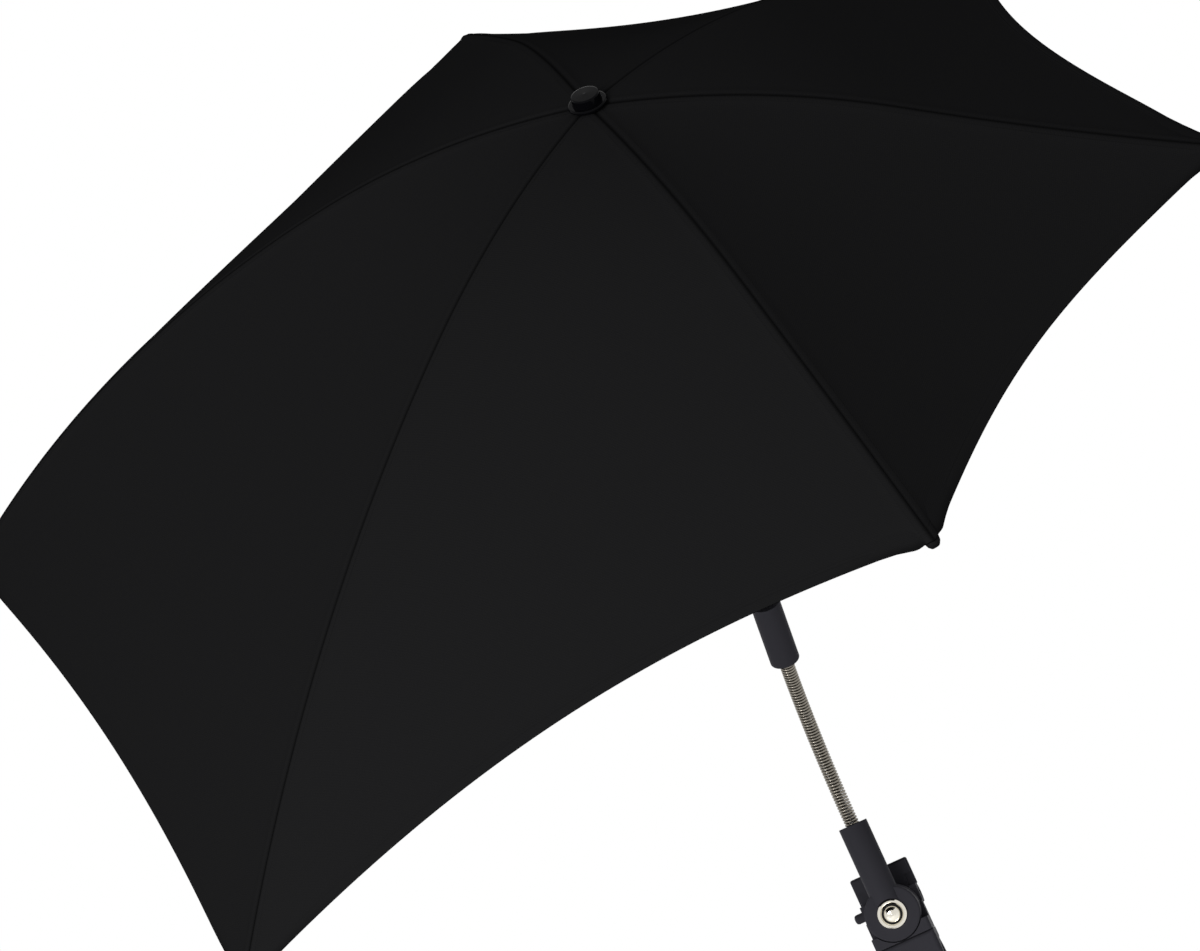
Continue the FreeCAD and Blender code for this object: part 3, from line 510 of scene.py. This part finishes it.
def plated_material(name, colour, roughness):
    """Plated or bare metal, slightly uneven in its gloss."""
    material, tree, shader = new_material(name, colour, roughness, metallic=1.0)
    grain = tree.nodes.new("ShaderNodeGroup")
    grain.node_tree = shared_group("surface_grain", grain_group)
    grain.inputs["Scale"].default_value = PLATE_GRAIN
    spread = [roughness * part for part in PLATE_SPREAD]
    vary(tree, grain.outputs["Mask"], shader.inputs["Roughness"], *spread)
    return material


def finishes():
    """Every finish of the parasol by the record's slot names, made once; the frame brings plain ones."""
    finish = bpy.context.scene.parasol_finish
    makers = {
        "canopy_cloth": lambda: cloth_material(finish),
        "black_plastic": lambda: moulded_material(
            "black_plastic_finish", finish.plastic, roughness=0.42, strength=0.12, gloss=0.01),
        "gloss_black_plastic": lambda: moulded_material(
            "gloss_black_plastic_finish", finish.gloss, roughness=0.06, strength=0.01, gloss=0.03),
        "rib_steel": lambda: moulded_material(
            "rib_steel_finish", finish.paint, roughness=0.35, strength=0.05, gloss=0.3),
        "shaft_metal": lambda: moulded_material(
            "shaft_metal_finish", finish.paint, roughness=0.3, strength=0.05, gloss=0.3),
        "plain_steel": lambda: plated_material("plain_steel_finish", finish.steel, roughness=0.3),
        "neck_nickel": lambda: plated_material("neck_nickel_finish", finish.nickel, roughness=0.25),
        "bright_nickel": lambda: plated_material("bright_nickel_finish", finish.bright, roughness=0.12),
        "jaw_rubber": lambda: moulded_material(
            "jaw_rubber_finish", finish.rubber, roughness=0.8, strength=0.3, gloss=0.1),
    }
    return {name: bpy.data.materials.get(f"{name}_finish") or maker() for name, maker in makers.items()}


# Meshes

def add_piece(name, points, faces, slot):
    mesh = bpy.data.meshes.new(name)
    mesh.from_pydata([tuple(point) for point in points], [], faces)
    mesh.update()
    mesh.materials.append(finishes()[slot])
    mesh.shade_smooth()
    piece = bpy.data.objects.new(name, mesh)
    bpy.context.collection.objects.link(piece)
    return piece


class RibLine:
    """A rib's middle line in its own plane: two arcs that run on in one direction at the joint."""

    def __init__(self, sizes, reach, drop):
        self.arcs = []
        slope = sizes.crown_slope
        points = [(crown_hinge_radius(), 0.0), (sizes.joint_reach, -sizes.joint_drop), (reach, -drop)]
        for first, last in zip(points, points[1:]):
            out, down = last[0] - first[0], first[1] - last[1]
            turn = 2 * (math.atan2(down, out) - slope)
            length = math.hypot(out, down) * (turn / 2) / math.sin(turn / 2)
            self.arcs.append((first, slope, turn, length))
            slope += turn
        self.length = sum(arc[3] for arc in self.arcs)

    def at(self, along):
        """Radius, height and downward slope at lengths from the crown hinge."""
        inner = self.on_arc(0, along)
        outer = self.on_arc(1, along - self.arcs[0][3])
        return [np.where(along > self.arcs[0][3], far, near) for near, far in zip(inner, outer)]

    def on_arc(self, number, along):
        first, slope, turn, length = self.arcs[number]
        bend = turn * along / length
        chord = along * np.sinc(bend / (2 * math.pi))
        radius = first[0] + chord * np.cos(slope + bend / 2)
        height = first[1] - chord * np.sin(slope + bend / 2)
        return radius, height, slope + bend


def rib_lines(sizes):
    reach = (sizes.long_reach, sizes.side_reach, sizes.short_reach)
    drop = (sizes.long_drop, sizes.side_drop, sizes.short_drop)
    half = [RibLine(sizes, *pair) for pair in zip(reach, drop)]
    return half + half[::-1]


class Panel:
    """One cloth panel from a rib to the next, as a surface of two shares: across and along."""

    def __init__(self, sizes, lines, first):
        self.sizes = sizes
        self.ribs = (first, first % len(RIBS) + 1)
        self.lines = [lines[rib - 1] for rib in self.ribs]
        self.angles = [rib_angle(rib) for rib in self.ribs]
        self.length = sum(line.length for line in self.lines) / 2
        kind = PANEL_KINDS[first - 1]
        self.sag = sizes.hem_sag[kind]
        self.dip = sizes.panel_dip[kind]
        self.span = float(self.width(np.array(1.0)))

    def edge(self, side, along, lift):
        """Points over a rib; along runs from the crown at 0 to the tip at 1."""
        line = self.lines[side]
        start = self.sizes.crown_opening - crown_hinge_radius()
        radius, height, slope = line.at(start + along * (line.length - start))
        radius = radius + lift * np.sin(slope)
        angle = self.angles[side]
        height = height + lift * np.cos(slope)
        return np.stack([radius * math.cos(angle), radius * math.sin(angle), height], -1)

    def width(self, along):
        return np.linalg.norm(self.edge(1, along, 0.0) - self.edge(0, along, 0.0), axis=-1)

    def plain(self, across, along, lift):
        """The smooth cloth without its seams; along runs from the crown at 0 to the hem at 1."""
        bow = 4 * across * (1 - across)
        from_tip = np.minimum(across, 1 - across) * self.span
        ear = EAR_RUN * np.exp(-((from_tip - EAR_PLACE) / EAR_SPREAD) ** 2)
        along = along * (1 - self.sag * bow + ear / self.length)
        first, last = self.edge(0, along, lift), self.edge(1, along, lift)
        spots = first * (1 - across)[..., None] + last * across[..., None]
        spots[..., 2] -= self.dip * bow * self.width(along)
        return spots

    def aside(self, side):
        """The part of the way across the panel that stands square to a rib's plane."""
        edges = [self.edge(number, np.array(ASIDE_PLACE), 0.0) for number in (0, 1)]
        chord = CANOPY.to_3x3() @ Vector(edges[1 - side] - edges[side]).normalized()
        axis = joint_axis(f"rib_fold_{self.ribs[side]}")
        return axis * chord.dot(axis)

    def from_rib(self, across, along):
        return np.minimum(across, 1 - across) * self.width(along)

    def from_hem(self, along):
        return (1 - along) * self.length

    def relief(self, across, along):
        """Height of seams, hem, stitches and tip curl over the smooth cloth."""
        rib, hem = self.from_rib(across, along), self.from_hem(along)
        seam = -SEAM_DEPTH * np.exp(-(rib / SEAM_SPREAD) ** 2)
        puff = PUFF_HEIGHT * np.exp(-((rib - PUFF_PLACE) / PUFF_SPREAD) ** 2)
        band = HEM_HEIGHT / (1 + np.exp((hem - self.sizes.hem_width) / HEM_EDGE))
        stitch = -STITCH_DEPTH * np.exp(-((hem - self.sizes.hem_width + STITCH_INSET) / STITCH_SPREAD) ** 2)
        beside_tip = (1 - np.exp(-(rib / CURL_NEAR) ** 2)) * np.exp(-(rib / CURL_FAR) ** 2)
        curl = -CURL_DROP * beside_tip * np.exp(-(hem / CURL_LENGTH) ** 2)
        return seam + puff + band + stitch + curl

    def shadow(self, across, along):
        """Painted shade on the turned hem's fold: how far it darkens the colour beside a rib's tip."""
        rib, hem = self.from_rib(across, along), self.from_hem(along)
        return HEM_SHADE * np.exp(-(hem / HEM_SHADE_LENGTH) ** 2) * np.exp(-(rib / HEM_SHADE_WIDTH) ** 2)

    def normal(self, across, along, lift):
        step = SMALL_STEP
        right = self.plain(across + step, along, lift) - self.plain(across - step, along, lift)
        outward = self.plain(across, along + step, lift) - self.plain(across, along - step, lift)
        normal = np.cross(outward, right)
        return normal / np.linalg.norm(normal, axis=-1, keepdims=True)

    def cloth(self, across, along, lift):
        height = self.relief(across, along)[..., None]
        return self.plain(across, along, lift) + self.normal(across, along, lift) * height

    def shading(self, across, along, lift, inside):
        """Normals of the cloth with its relief, taken towards the inside of the half panel at its seam."""
        step = SMALL_STEP / 2
        near = np.where(inside > 0, np.maximum(across - step, 0.0), across - step)
        far = np.where(inside > 0, across + step, np.minimum(across + step, 1.0))
        right = self.cloth(far, along, lift) - self.cloth(near, along, lift)
        outward = self.cloth(across, along, lift) - self.cloth(across, along - step, lift)
        normal = np.cross(outward, right)
        return normal / np.linalg.norm(normal, axis=-1, keepdims=True)


def lengthwise(panel):
    """Shares along a panel, close together at the hem."""
    edge = panel.sizes.hem_width / panel.length
    broad = np.linspace(0, 1 - PANEL_ROWS_TO * edge, PANEL_ROWS)
    return np.concatenate([broad, 1 - edge * np.linspace(HEM_ROWS_FROM, 0.0, HEM_ROWS)])


def cloth_piece(name, top, low, top_normal, low_normal, uv, seam):
    """A thin closed sheet between two grids of points, shaded by the given normals."""
    wide, long = seam.shape
    count = wide * long
    turn = np.array(CANOPY.to_3x3())
    points = np.concatenate([top.reshape(-1, 3), low.reshape(-1, 3)]) @ turn.T + np.array(CANOPY.translation)
    normals = np.concatenate([top_normal.reshape(-1, 3), low_normal.reshape(-1, 3)]) @ turn.T
    grid = np.arange(count).reshape(wide, long)
    quads = np.stack([grid[:-1, :-1], grid[:-1, 1:], grid[1:, 1:], grid[1:, :-1]], -1).reshape(-1, 4)
    rim = np.concatenate([grid[:, 0], grid[-1, 1:], grid[-2::-1, -1], grid[0, -2:0:-1]])
    ring = np.roll(rim, -1)
    sides = np.stack([rim, ring, ring + count, rim + count], -1)
    faces = np.concatenate([quads, (quads + count)[:, ::-1], sides])
    piece = add_piece(name, points, faces.tolist(), "canopy_cloth")
    piece.data.normals_split_custom_set_from_vertices(normals)
    layer = piece.data.uv_layers.new(name="cloth")
    corners = np.array([loop.vertex_index for loop in piece.data.loops])
    layer.data.foreach_set("uv", np.tile(uv.reshape(-1, 2), (2, 1))[corners].astype(np.float32).ravel())
    # The seam attribute carries painted shade for the cloth's colour: seams, strip edges and hem beside tips
    shade = piece.data.attributes.new("seam", "FLOAT", "POINT")
    shade.data.foreach_set("value", np.tile(seam.ravel(), 2).astype(np.float32))
    return piece


def half_panel(panel, side, name):
    """The half of a panel that a rib carries, from under the seam's strip to the panel's middle line."""
    sizes = panel.sizes
    spread = np.concatenate([np.linspace(0, SEAM_COLUMNS_TO, SEAM_COLUMNS),
                             np.linspace(SEAM_COLUMNS_TO, 1, PANEL_COLUMNS)[1:]])
    share, along = np.meshgrid(spread, lengthwise(panel), indexing="ij")
    start = np.minimum((sizes.seam_half - UNDERLAP) / panel.width(along), PANEL_EDGE_LIMIT)
    across = start + (0.5 - start) * share
    if side == 1:
        across = 1 - across[::-1]
    high = sizes.cloth_lift + sizes.cloth_thickness
    under = np.clip((sizes.seam_half - panel.from_rib(across, along)) / TUCK_EDGE, 0, 1)
    tuck = panel.normal(across, along, high) * (TUCK_DEPTH * under)[..., None]
    top = panel.cloth(across, along, high) - tuck
    low = panel.plain(across, along, sizes.cloth_lift) - tuck
    inside = 1 if side == 0 else -1
    uv = np.stack([(across - 0.5) * panel.width(along), along * panel.length], -1)
    # panel.shadow gives the painted shade on the hem beside the tips
    piece = cloth_piece(name, top, low, panel.shading(across, along, high, inside),
                        -panel.normal(across, along, sizes.cloth_lift), uv, panel.shadow(across, along))
    return piece, top


def seam_strip(before, after):
    """The sewn strip over a rib, reaching a little way into the panels on both sides."""
    sizes = after.sizes
    high = sizes.cloth_lift + sizes.cloth_thickness
    spread = np.concatenate([np.linspace(*STRIP_OUTER), np.linspace(*STRIP_INNER)])
    parts = []
    for panel, side in ((before, 1), (after, 0)):
        share, along = np.meshgrid(spread, lengthwise(panel), indexing="ij")
        across = np.minimum(sizes.seam_half * share / panel.width(along), STRIP_EDGE_LIMIT)
        across = 1 - across if side == 1 else across
        groove = np.minimum(panel.relief(across, along), 0)[..., None]
        low = panel.plain(across, along, sizes.cloth_lift)
        low += panel.normal(across, along, sizes.cloth_lift) * groove
        place = sizes.seam_half * share * (1 if side == 0 else -1)
        # Painted shade along the rib's groove, and a painted shadow line at the strip's edge
        dark = np.exp(-(panel.from_rib(across, along) / SEAM_SPREAD) ** 2)
        dark = dark + STRIP_EDGE_SHADE * (share > STRIP_RIM)
        parts.append((panel.cloth(across, along, high), low,
                      panel.shading(across, along, high, 1 if side == 0 else -1),
                      -panel.normal(across, along, sizes.cloth_lift),
                      np.stack([place, along * panel.length], -1), dark))
    *grids, shade = [np.concatenate([first[:-1], (first[-1:] + second[-1:]) / 2, second[-2::-1]])
                     for first, second in zip(*parts)]
    rib = after.ribs[0]
    piece = cloth_piece(f"seam_strip_{rib}", *grids, np.clip(shade, 0, 1))
    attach(piece, f"rib_{rib}")
    return piece


def rounded(value, power):
    """A sine or cosine drawn out towards a rounded square."""
    return math.copysign(abs(value) ** power, value)


def tip_pocket(panel):
    """The sewn pocket that holds a rib's tip: a thin hood, open towards the crown."""
    line = panel.lines[0]
    radius, height, slope = (float(value) for value in line.at(np.array(line.length - panel.sizes.tip_back)))
    angle = panel.angles[0]
    out = Vector((math.cos(angle), math.sin(angle), 0))
    ahead = out * math.cos(slope) - Vector((0, 0, math.sin(slope)))
    across = Vector((-math.sin(angle), math.cos(angle), 0))
    up = ahead.cross(across)
    tip = out * radius + Vector((0, 0, height))
    outer = POCKET_OUTLINE
    inner = [(place - POCKET_WALL, half - POCKET_WALL) for place, half in outer[::-1]]
    corners = POCKET_CORNERS
    points, faces = [], []
    for number, (place, half) in enumerate(outer + inner):
        thin = POCKET_WALL if number >= len(outer) else 0.0
        taper = 1 - POCKET_TAPER + POCKET_TAPER * (half / outer[0][1])
        high, low = POCKET_HIGH * taper - thin, POCKET_LOW * taper + thin
        for step in range(corners):
            turn = 2 * math.pi * step / corners
            side = rounded(math.cos(turn), POCKET_SIDE_ROUND) * half
            rise = (high + low) / 2 + (high - low) / 2 * rounded(math.sin(turn), POCKET_RISE_ROUND)
            points.append(CANOPY @ (tip + ahead * place + across * side + up * rise))
    rings = len(outer) + len(inner)
    for ring in range(rings):
        if ring == len(outer) - 1:
            continue
        for step in range(corners):
            low, high = ring * corners + step, ring * corners + (step + 1) % corners
            far = ((ring + 1) % rings - ring) * corners
            faces.append([low, high, high + far, low + far])
    nose, hollow = (len(outer) - 1) * corners, len(outer) * corners
    faces.append([nose + step for step in range(corners)])
    faces.append([hollow + step for step in reversed(range(corners))])
    piece = add_piece(f"tip_pocket_{panel.ribs[0]}", points, faces, "canopy_cloth")
    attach(piece, f"rib_{panel.ribs[0]}")
    return piece


def neck_place(sizes, along):
    """A place along the bent neck, by its length from the socket's rim, and two ways square to the neck."""
    tilt = joint_axis("neck_tilt")
    quarter = sizes.lean / 4
    radius = sizes.free_length / sizes.lean
    up = Vector((0, 0, 1))
    away = tilt.cross(up)
    foot = joint_place("neck_tilt") - up * radius * math.sin(quarter)
    foot -= away * radius * (1 - math.cos(quarter))
    bend = min(max(along / radius, 0.0), sizes.lean)
    past = min(along, 0.0) + max(along - sizes.free_length, 0.0)
    ahead = up * math.cos(bend) + away * math.sin(bend)
    spot = foot + up * radius * math.sin(bend) + away * radius * (1 - math.cos(bend)) + ahead * past
    return spot, away * math.cos(bend) - up * math.sin(bend), tilt


def tube_along(name, spots, radius, slot, around=10):
    """A closed round tube through close points."""
    points, faces = [], []
    spots = [Vector(spot) for spot in spots]
    side = None
    for number, spot in enumerate(spots):
        ahead = (spots[min(number + 1, len(spots) - 1)] - spots[max(number - 1, 0)]).normalized()
        if side is None:
            side = ahead.orthogonal()
        side = (side - ahead * side.dot(ahead)).normalized()
        other = ahead.cross(side)
        for corner in range(around):
            angle = 2 * math.pi * corner / around
            points.append(spot + side * radius * math.cos(angle) + other * radius * math.sin(angle))
    for number in range(len(spots) - 1):
        for corner in range(around):
            low = number * around + corner
            high = number * around + (corner + 1) % around
            faces.append([low, high, high + around, low + around])
    faces.append(list(range(around))[::-1])
    faces.append([(len(spots) - 1) * around + corner for corner in range(around)])
    return add_piece(name, points, faces, slot)


# Operators

class PARASOL_OT_finish_solids(bpy.types.Operator):
    """Gives each solid of the frame its finish"""
    bl_idname = "parasol.finish_solids"
    bl_label = "Finish Solids"

    def execute(self, context):
        looks = finishes()
        for entry in FRAME["record"]["subparts"]:
            node = FRAME["nodes"][entry["node"]]
            node.data.materials.clear()
            node.data.materials.append(looks[entry["material_slot"]])
        return {"FINISHED"}


class PARASOL_OT_sew_canopy(bpy.types.Operator):
    """Sews the canopy: one curved sheet, carried half panel by half panel by its ribs"""
    bl_idname = "parasol.sew_canopy"
    bl_label = "Sew Canopy"

    def execute(self, context):
        sizes = context.scene.parasol_canopy
        lines = rib_lines(sizes)
        panels = [Panel(sizes, lines, first) for first in RIBS]
        for number, panel in enumerate(panels):
            trim = [tip_pocket(panel), seam_strip(panels[number - 1], panel)]
            for side, rib in enumerate(panel.ribs):
                piece, top = half_panel(panel, side, f"canopy_panel_{panel.ribs[0]}_rib_{rib}")
                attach(piece, f"rib_{rib}")
                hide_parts(f"canopy_gore_{panel.ribs[0]}")
                anchor = joint_place(f"rib_fold_{rib}") + panel.aside(side) * sizes.seam_half
                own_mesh(piece)
        return {"FINISHED"}


class PARASOL_OT_wind_neck(bpy.types.Operator):
    """Winds the neck's wire and lays its core along the bent neck, in two lengths"""
    bl_idname = "parasol.wind_neck"
    bl_label = "Wind Neck"

    def execute(self, context):
        sizes = context.scene.parasol_neck
        pitch = sizes.free_length / sizes.turns
        hidden = sizes.hidden_turns * pitch
        half = sizes.free_length / 2
        radius = (sizes.outer - sizes.wire) / 2
        lengths = (("lower", -hidden, half, 0.0, half), ("upper", half, 2 * half + hidden, half, 2 * half))
        for name, start, end, bend_start, bend_end in lengths:
            coil, core = [], []
            count = int(round((end - start) / pitch * NECK_STEPS))
            for step in range(count + 1):
                along = start + (end - start) * step / count
                spot, away, across = neck_place(sizes, along)
                angle = 2 * math.pi * (along + hidden) / pitch
                coil.append(spot + (across * math.cos(angle) + away * math.sin(angle)) * radius)
            for step in range(CORE_STEPS + 1):
                core.append(neck_place(sizes, start + (end - start) * step / CORE_STEPS)[0])
            limits = [neck_place(sizes, along)[0] for along in (bend_start, bend_end)]
            wire = tube_along(f"gooseneck_{name}", coil, sizes.wire / 2, "neck_nickel")
            inner = tube_along(f"gooseneck_core_{name}", core, sizes.core / 2, "plain_steel")
            for piece, node in ((wire, "gooseneck_spring"), (inner, "gooseneck_core")):
                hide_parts(node)
                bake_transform(piece)
        return {"FINISHED"}


class PARASOL_OT_wind_clip_spring(bpy.types.Operator):
    """Winds the clip's spring"""
    bl_idname = "parasol.wind_clip_spring"
    bl_label = "Wind Clip Spring"

    def execute(self, context):
        sizes = context.scene.parasol_spring
        middle = joint_place("jaw_open")
        legs = [Vector((side * sizes.width / 2, side * sizes.radius, sizes.leg)) for side in (-1, 1)]
        spots = [middle + legs[0]]
        steps = int(SPRING_STEPS * sizes.turns)
        for step in range(steps + 1):
            angle = 2 * math.pi * sizes.turns * step / steps
            spots.append(middle + Vector((sizes.width * (step / steps - 0.5), -sizes.radius * math.cos(angle),
                                          -sizes.radius * math.sin(angle))))
        spots.append(middle + legs[1])
        piece = tube_along("clip_spring", spots, sizes.wire / 2, "plain_steel", around=12)
        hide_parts("jaw_spring")
        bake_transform(piece)
        return {"FINISHED"}


class PARASOL_OT_seat_pivot_shade_ring(bpy.types.Operator):
    """Lays a thin black band in the trench between the pivot's dome and its ring, as painted shade in that recess
    """
    bl_idname = "parasol.seat_pivot_seal"
    bl_label = "Seat Pivot Shadow"

    def execute(self, context):
        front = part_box("pivot_ring")[1][1] - RING_THICKNESS
        middle = joint_place("clip_pivot")
        around = SHADE_RING_CORNERS
        points, faces = [], []
        for radius, depth in SHADE_RING_OUTLINE:
            for step in range(around):
                angle = 2 * math.pi * step / around
                points.append((middle.x + radius * math.cos(angle), front + depth,
                               middle.z + radius * math.sin(angle)))
        for row in range(len(SHADE_RING_OUTLINE)):
            for step in range(around):
                near, far = row * around, (row + 1) % len(SHADE_RING_OUTLINE) * around
                after = (step + 1) % around
                faces.append([near + step, far + step, far + after, near + after])
        # Given the rubber finish, the black band is painted shade in the recess
        piece = add_piece("pivot_shade_ring", points, faces, "jaw_rubber")
        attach(piece, "clip")
        return {"FINISHED"}


class PARASOL_OT_set_stage(bpy.types.Operator):
    """Sets the floor, the lamps, the white surround and the camera"""
    bl_idname = "parasol.set_stage"
    bl_label = "Set Stage"

    def add_camera(self, view):
        turn, rise = view.turn, view.rise
        back = Vector((math.cos(turn) * math.cos(rise), math.sin(turn) * math.cos(rise), math.sin(rise)))
        shaft = Vector((0, 0, 1))
        upright = (shaft - back * shaft.dot(back)).normalized()
        aside = upright.cross(back)
        up = upright * math.cos(view.roll) + aside * math.sin(view.roll)
        matrix = Matrix((up.cross(back), up, back)).transposed().to_4x4()
        matrix.translation = Vector(view.look_at) + back * view.distance
        data = bpy.data.cameras.new("camera")
        data.sensor_width = SENSOR_WIDTH
        data.lens = view.lens
        camera = bpy.data.objects.new("camera", data)
        camera.matrix_world = CANOPY @ matrix
        bpy.context.collection.objects.link(camera)
        bpy.context.scene.camera = camera
        return camera

    def add_lamp(self, name, way, distance, size, watts, camera):
        """A round soft lamp; way is seen from the crown in the camera's axes: right, up, back."""
        lamp = bpy.data.lights.new(name, "AREA")
        lamp.shape = "DISK"
        lamp.size = size
        lamp.energy = watts
        way = camera.matrix_world.to_3x3() @ Vector(way).normalized()
        thing = bpy.data.objects.new(name, lamp)
        thing.location = CANOPY.translation + way * distance
        thing.rotation_euler = way.to_track_quat("Z", "Y").to_euler()
        bpy.context.collection.objects.link(thing)

    def seen_rays(self, tree):
        """A mask of the rays that see the surround: from the camera, a mirror or glass."""
        rays = tree.nodes.new("ShaderNodeLightPath")
        seen = math_node(tree, "MAXIMUM", rays.outputs["Is Camera Ray"], rays.outputs["Is Glossy Ray"])
        return math_node(tree, "MAXIMUM", seen, rays.outputs["Is Transmission Ray"])

    def add_world(self):
        world = bpy.data.worlds.new("white_surround")
        bpy.context.scene.world = world
        world.use_nodes = True
        tree = world.node_tree
        soft = tree.nodes["Background"]
        white = tree.nodes.new("ShaderNodeBackground")
        for node, strength in ((soft, SOFT_LIGHT), (white, SEEN_WHITE)):
            node.inputs["Color"].default_value = (1, 1, 1, 1)
            node.inputs["Strength"].default_value = strength
        mix = tree.nodes.new("ShaderNodeMixShader")
        tree.links.new(self.seen_rays(tree), mix.inputs[0])
        tree.links.new(soft.outputs[0], mix.inputs[1])
        tree.links.new(white.outputs[0], mix.inputs[2])
        tree.links.new(mix.outputs[0], tree.nodes["World Output"].inputs["Surface"])

    def add_floor(self):
        """A pale floor, lifted to white for the eye except in the object's shadow."""
        material, tree, shader = new_material("white_floor", [FLOOR_GREY] * 3, roughness=0.8)
        lift = tree.nodes.new("ShaderNodeEmission")
        tree.links.new(math_node(tree, "MULTIPLY", self.seen_rays(tree), FLOOR_LIFT), lift.inputs["Strength"])
        both = tree.nodes.new("ShaderNodeAddShader")
        tree.links.new(shader.outputs[0], both.inputs[0])
        tree.links.new(lift.outputs[0], both.inputs[1])
        tree.links.new(both.outputs[0], tree.nodes["Material Output"].inputs["Surface"])
        low = CAD_BOX[0][2] - FLOOR_DROP
        reach = FLOOR_REACH
        mesh = bpy.data.meshes.new("floor")
        corners = [(-reach, -reach, low), (reach, -reach, low), (reach, reach, low), (-reach, reach, low)]
        mesh.from_pydata(corners, [], [(0, 1, 2, 3)])
        mesh.materials.append(material)
        floor = bpy.data.objects.new("floor", mesh)
        bpy.context.collection.objects.link(floor)

    def execute(self, context):
        camera = self.add_camera(context.scene.parasol_view)
        self.add_world()
        self.add_floor()
        for lamp in LAMPS:
            self.add_lamp(*lamp, camera)
        context.scene.view_settings.view_transform = "Standard"
        return {"FINISHED"}


OPERATORS = (
    PARASOL_OT_finish_solids,
    PARASOL_OT_sew_canopy,
    PARASOL_OT_wind_neck,
    PARASOL_OT_wind_clip_spring,
    PARASOL_OT_seat_pivot_shade_ring,
    PARASOL_OT_set_stage,
)


class PARASOL_PT_sidebar(bpy.types.Panel):
    """Lists the parasol's steps and sizes"""
    bl_idname = "PARASOL_PT_sidebar"
    bl_label = "Pram Parasol"
    bl_space_type = "VIEW_3D"
    bl_region_type = "UI"
    bl_category = "Parasol"

    def draw(self, context):
        for operator in OPERATORS:
            self.layout.operator(operator.bl_idname)
        for name, group in GROUPS.items():
            for key in group.__annotations__:
                self.layout.prop(getattr(context.scene, name), key)


def register():
    for cls in (*GROUPS.values(), *OPERATORS, PARASOL_PT_sidebar):
        bpy.utils.register_class(cls)
    for name, group in GROUPS.items():
        setattr(bpy.types.Scene, name, bpy.props.PointerProperty(type=group))


def unregister():
    for name in GROUPS:
        delattr(bpy.types.Scene, name)
    for cls in reversed((*GROUPS.values(), *OPERATORS, PARASOL_PT_sidebar)):
        bpy.utils.unregister_class(cls)


def main():
    register()
    bpy.ops.parasol.finish_solids()
    bpy.ops.parasol.sew_canopy()
    bpy.ops.parasol.wind_neck()
    bpy.ops.parasol.wind_clip_spring()
    bpy.ops.parasol.seat_pivot_seal()
    bpy.ops.parasol.set_stage()


if __name__ == "__main__":
    main()
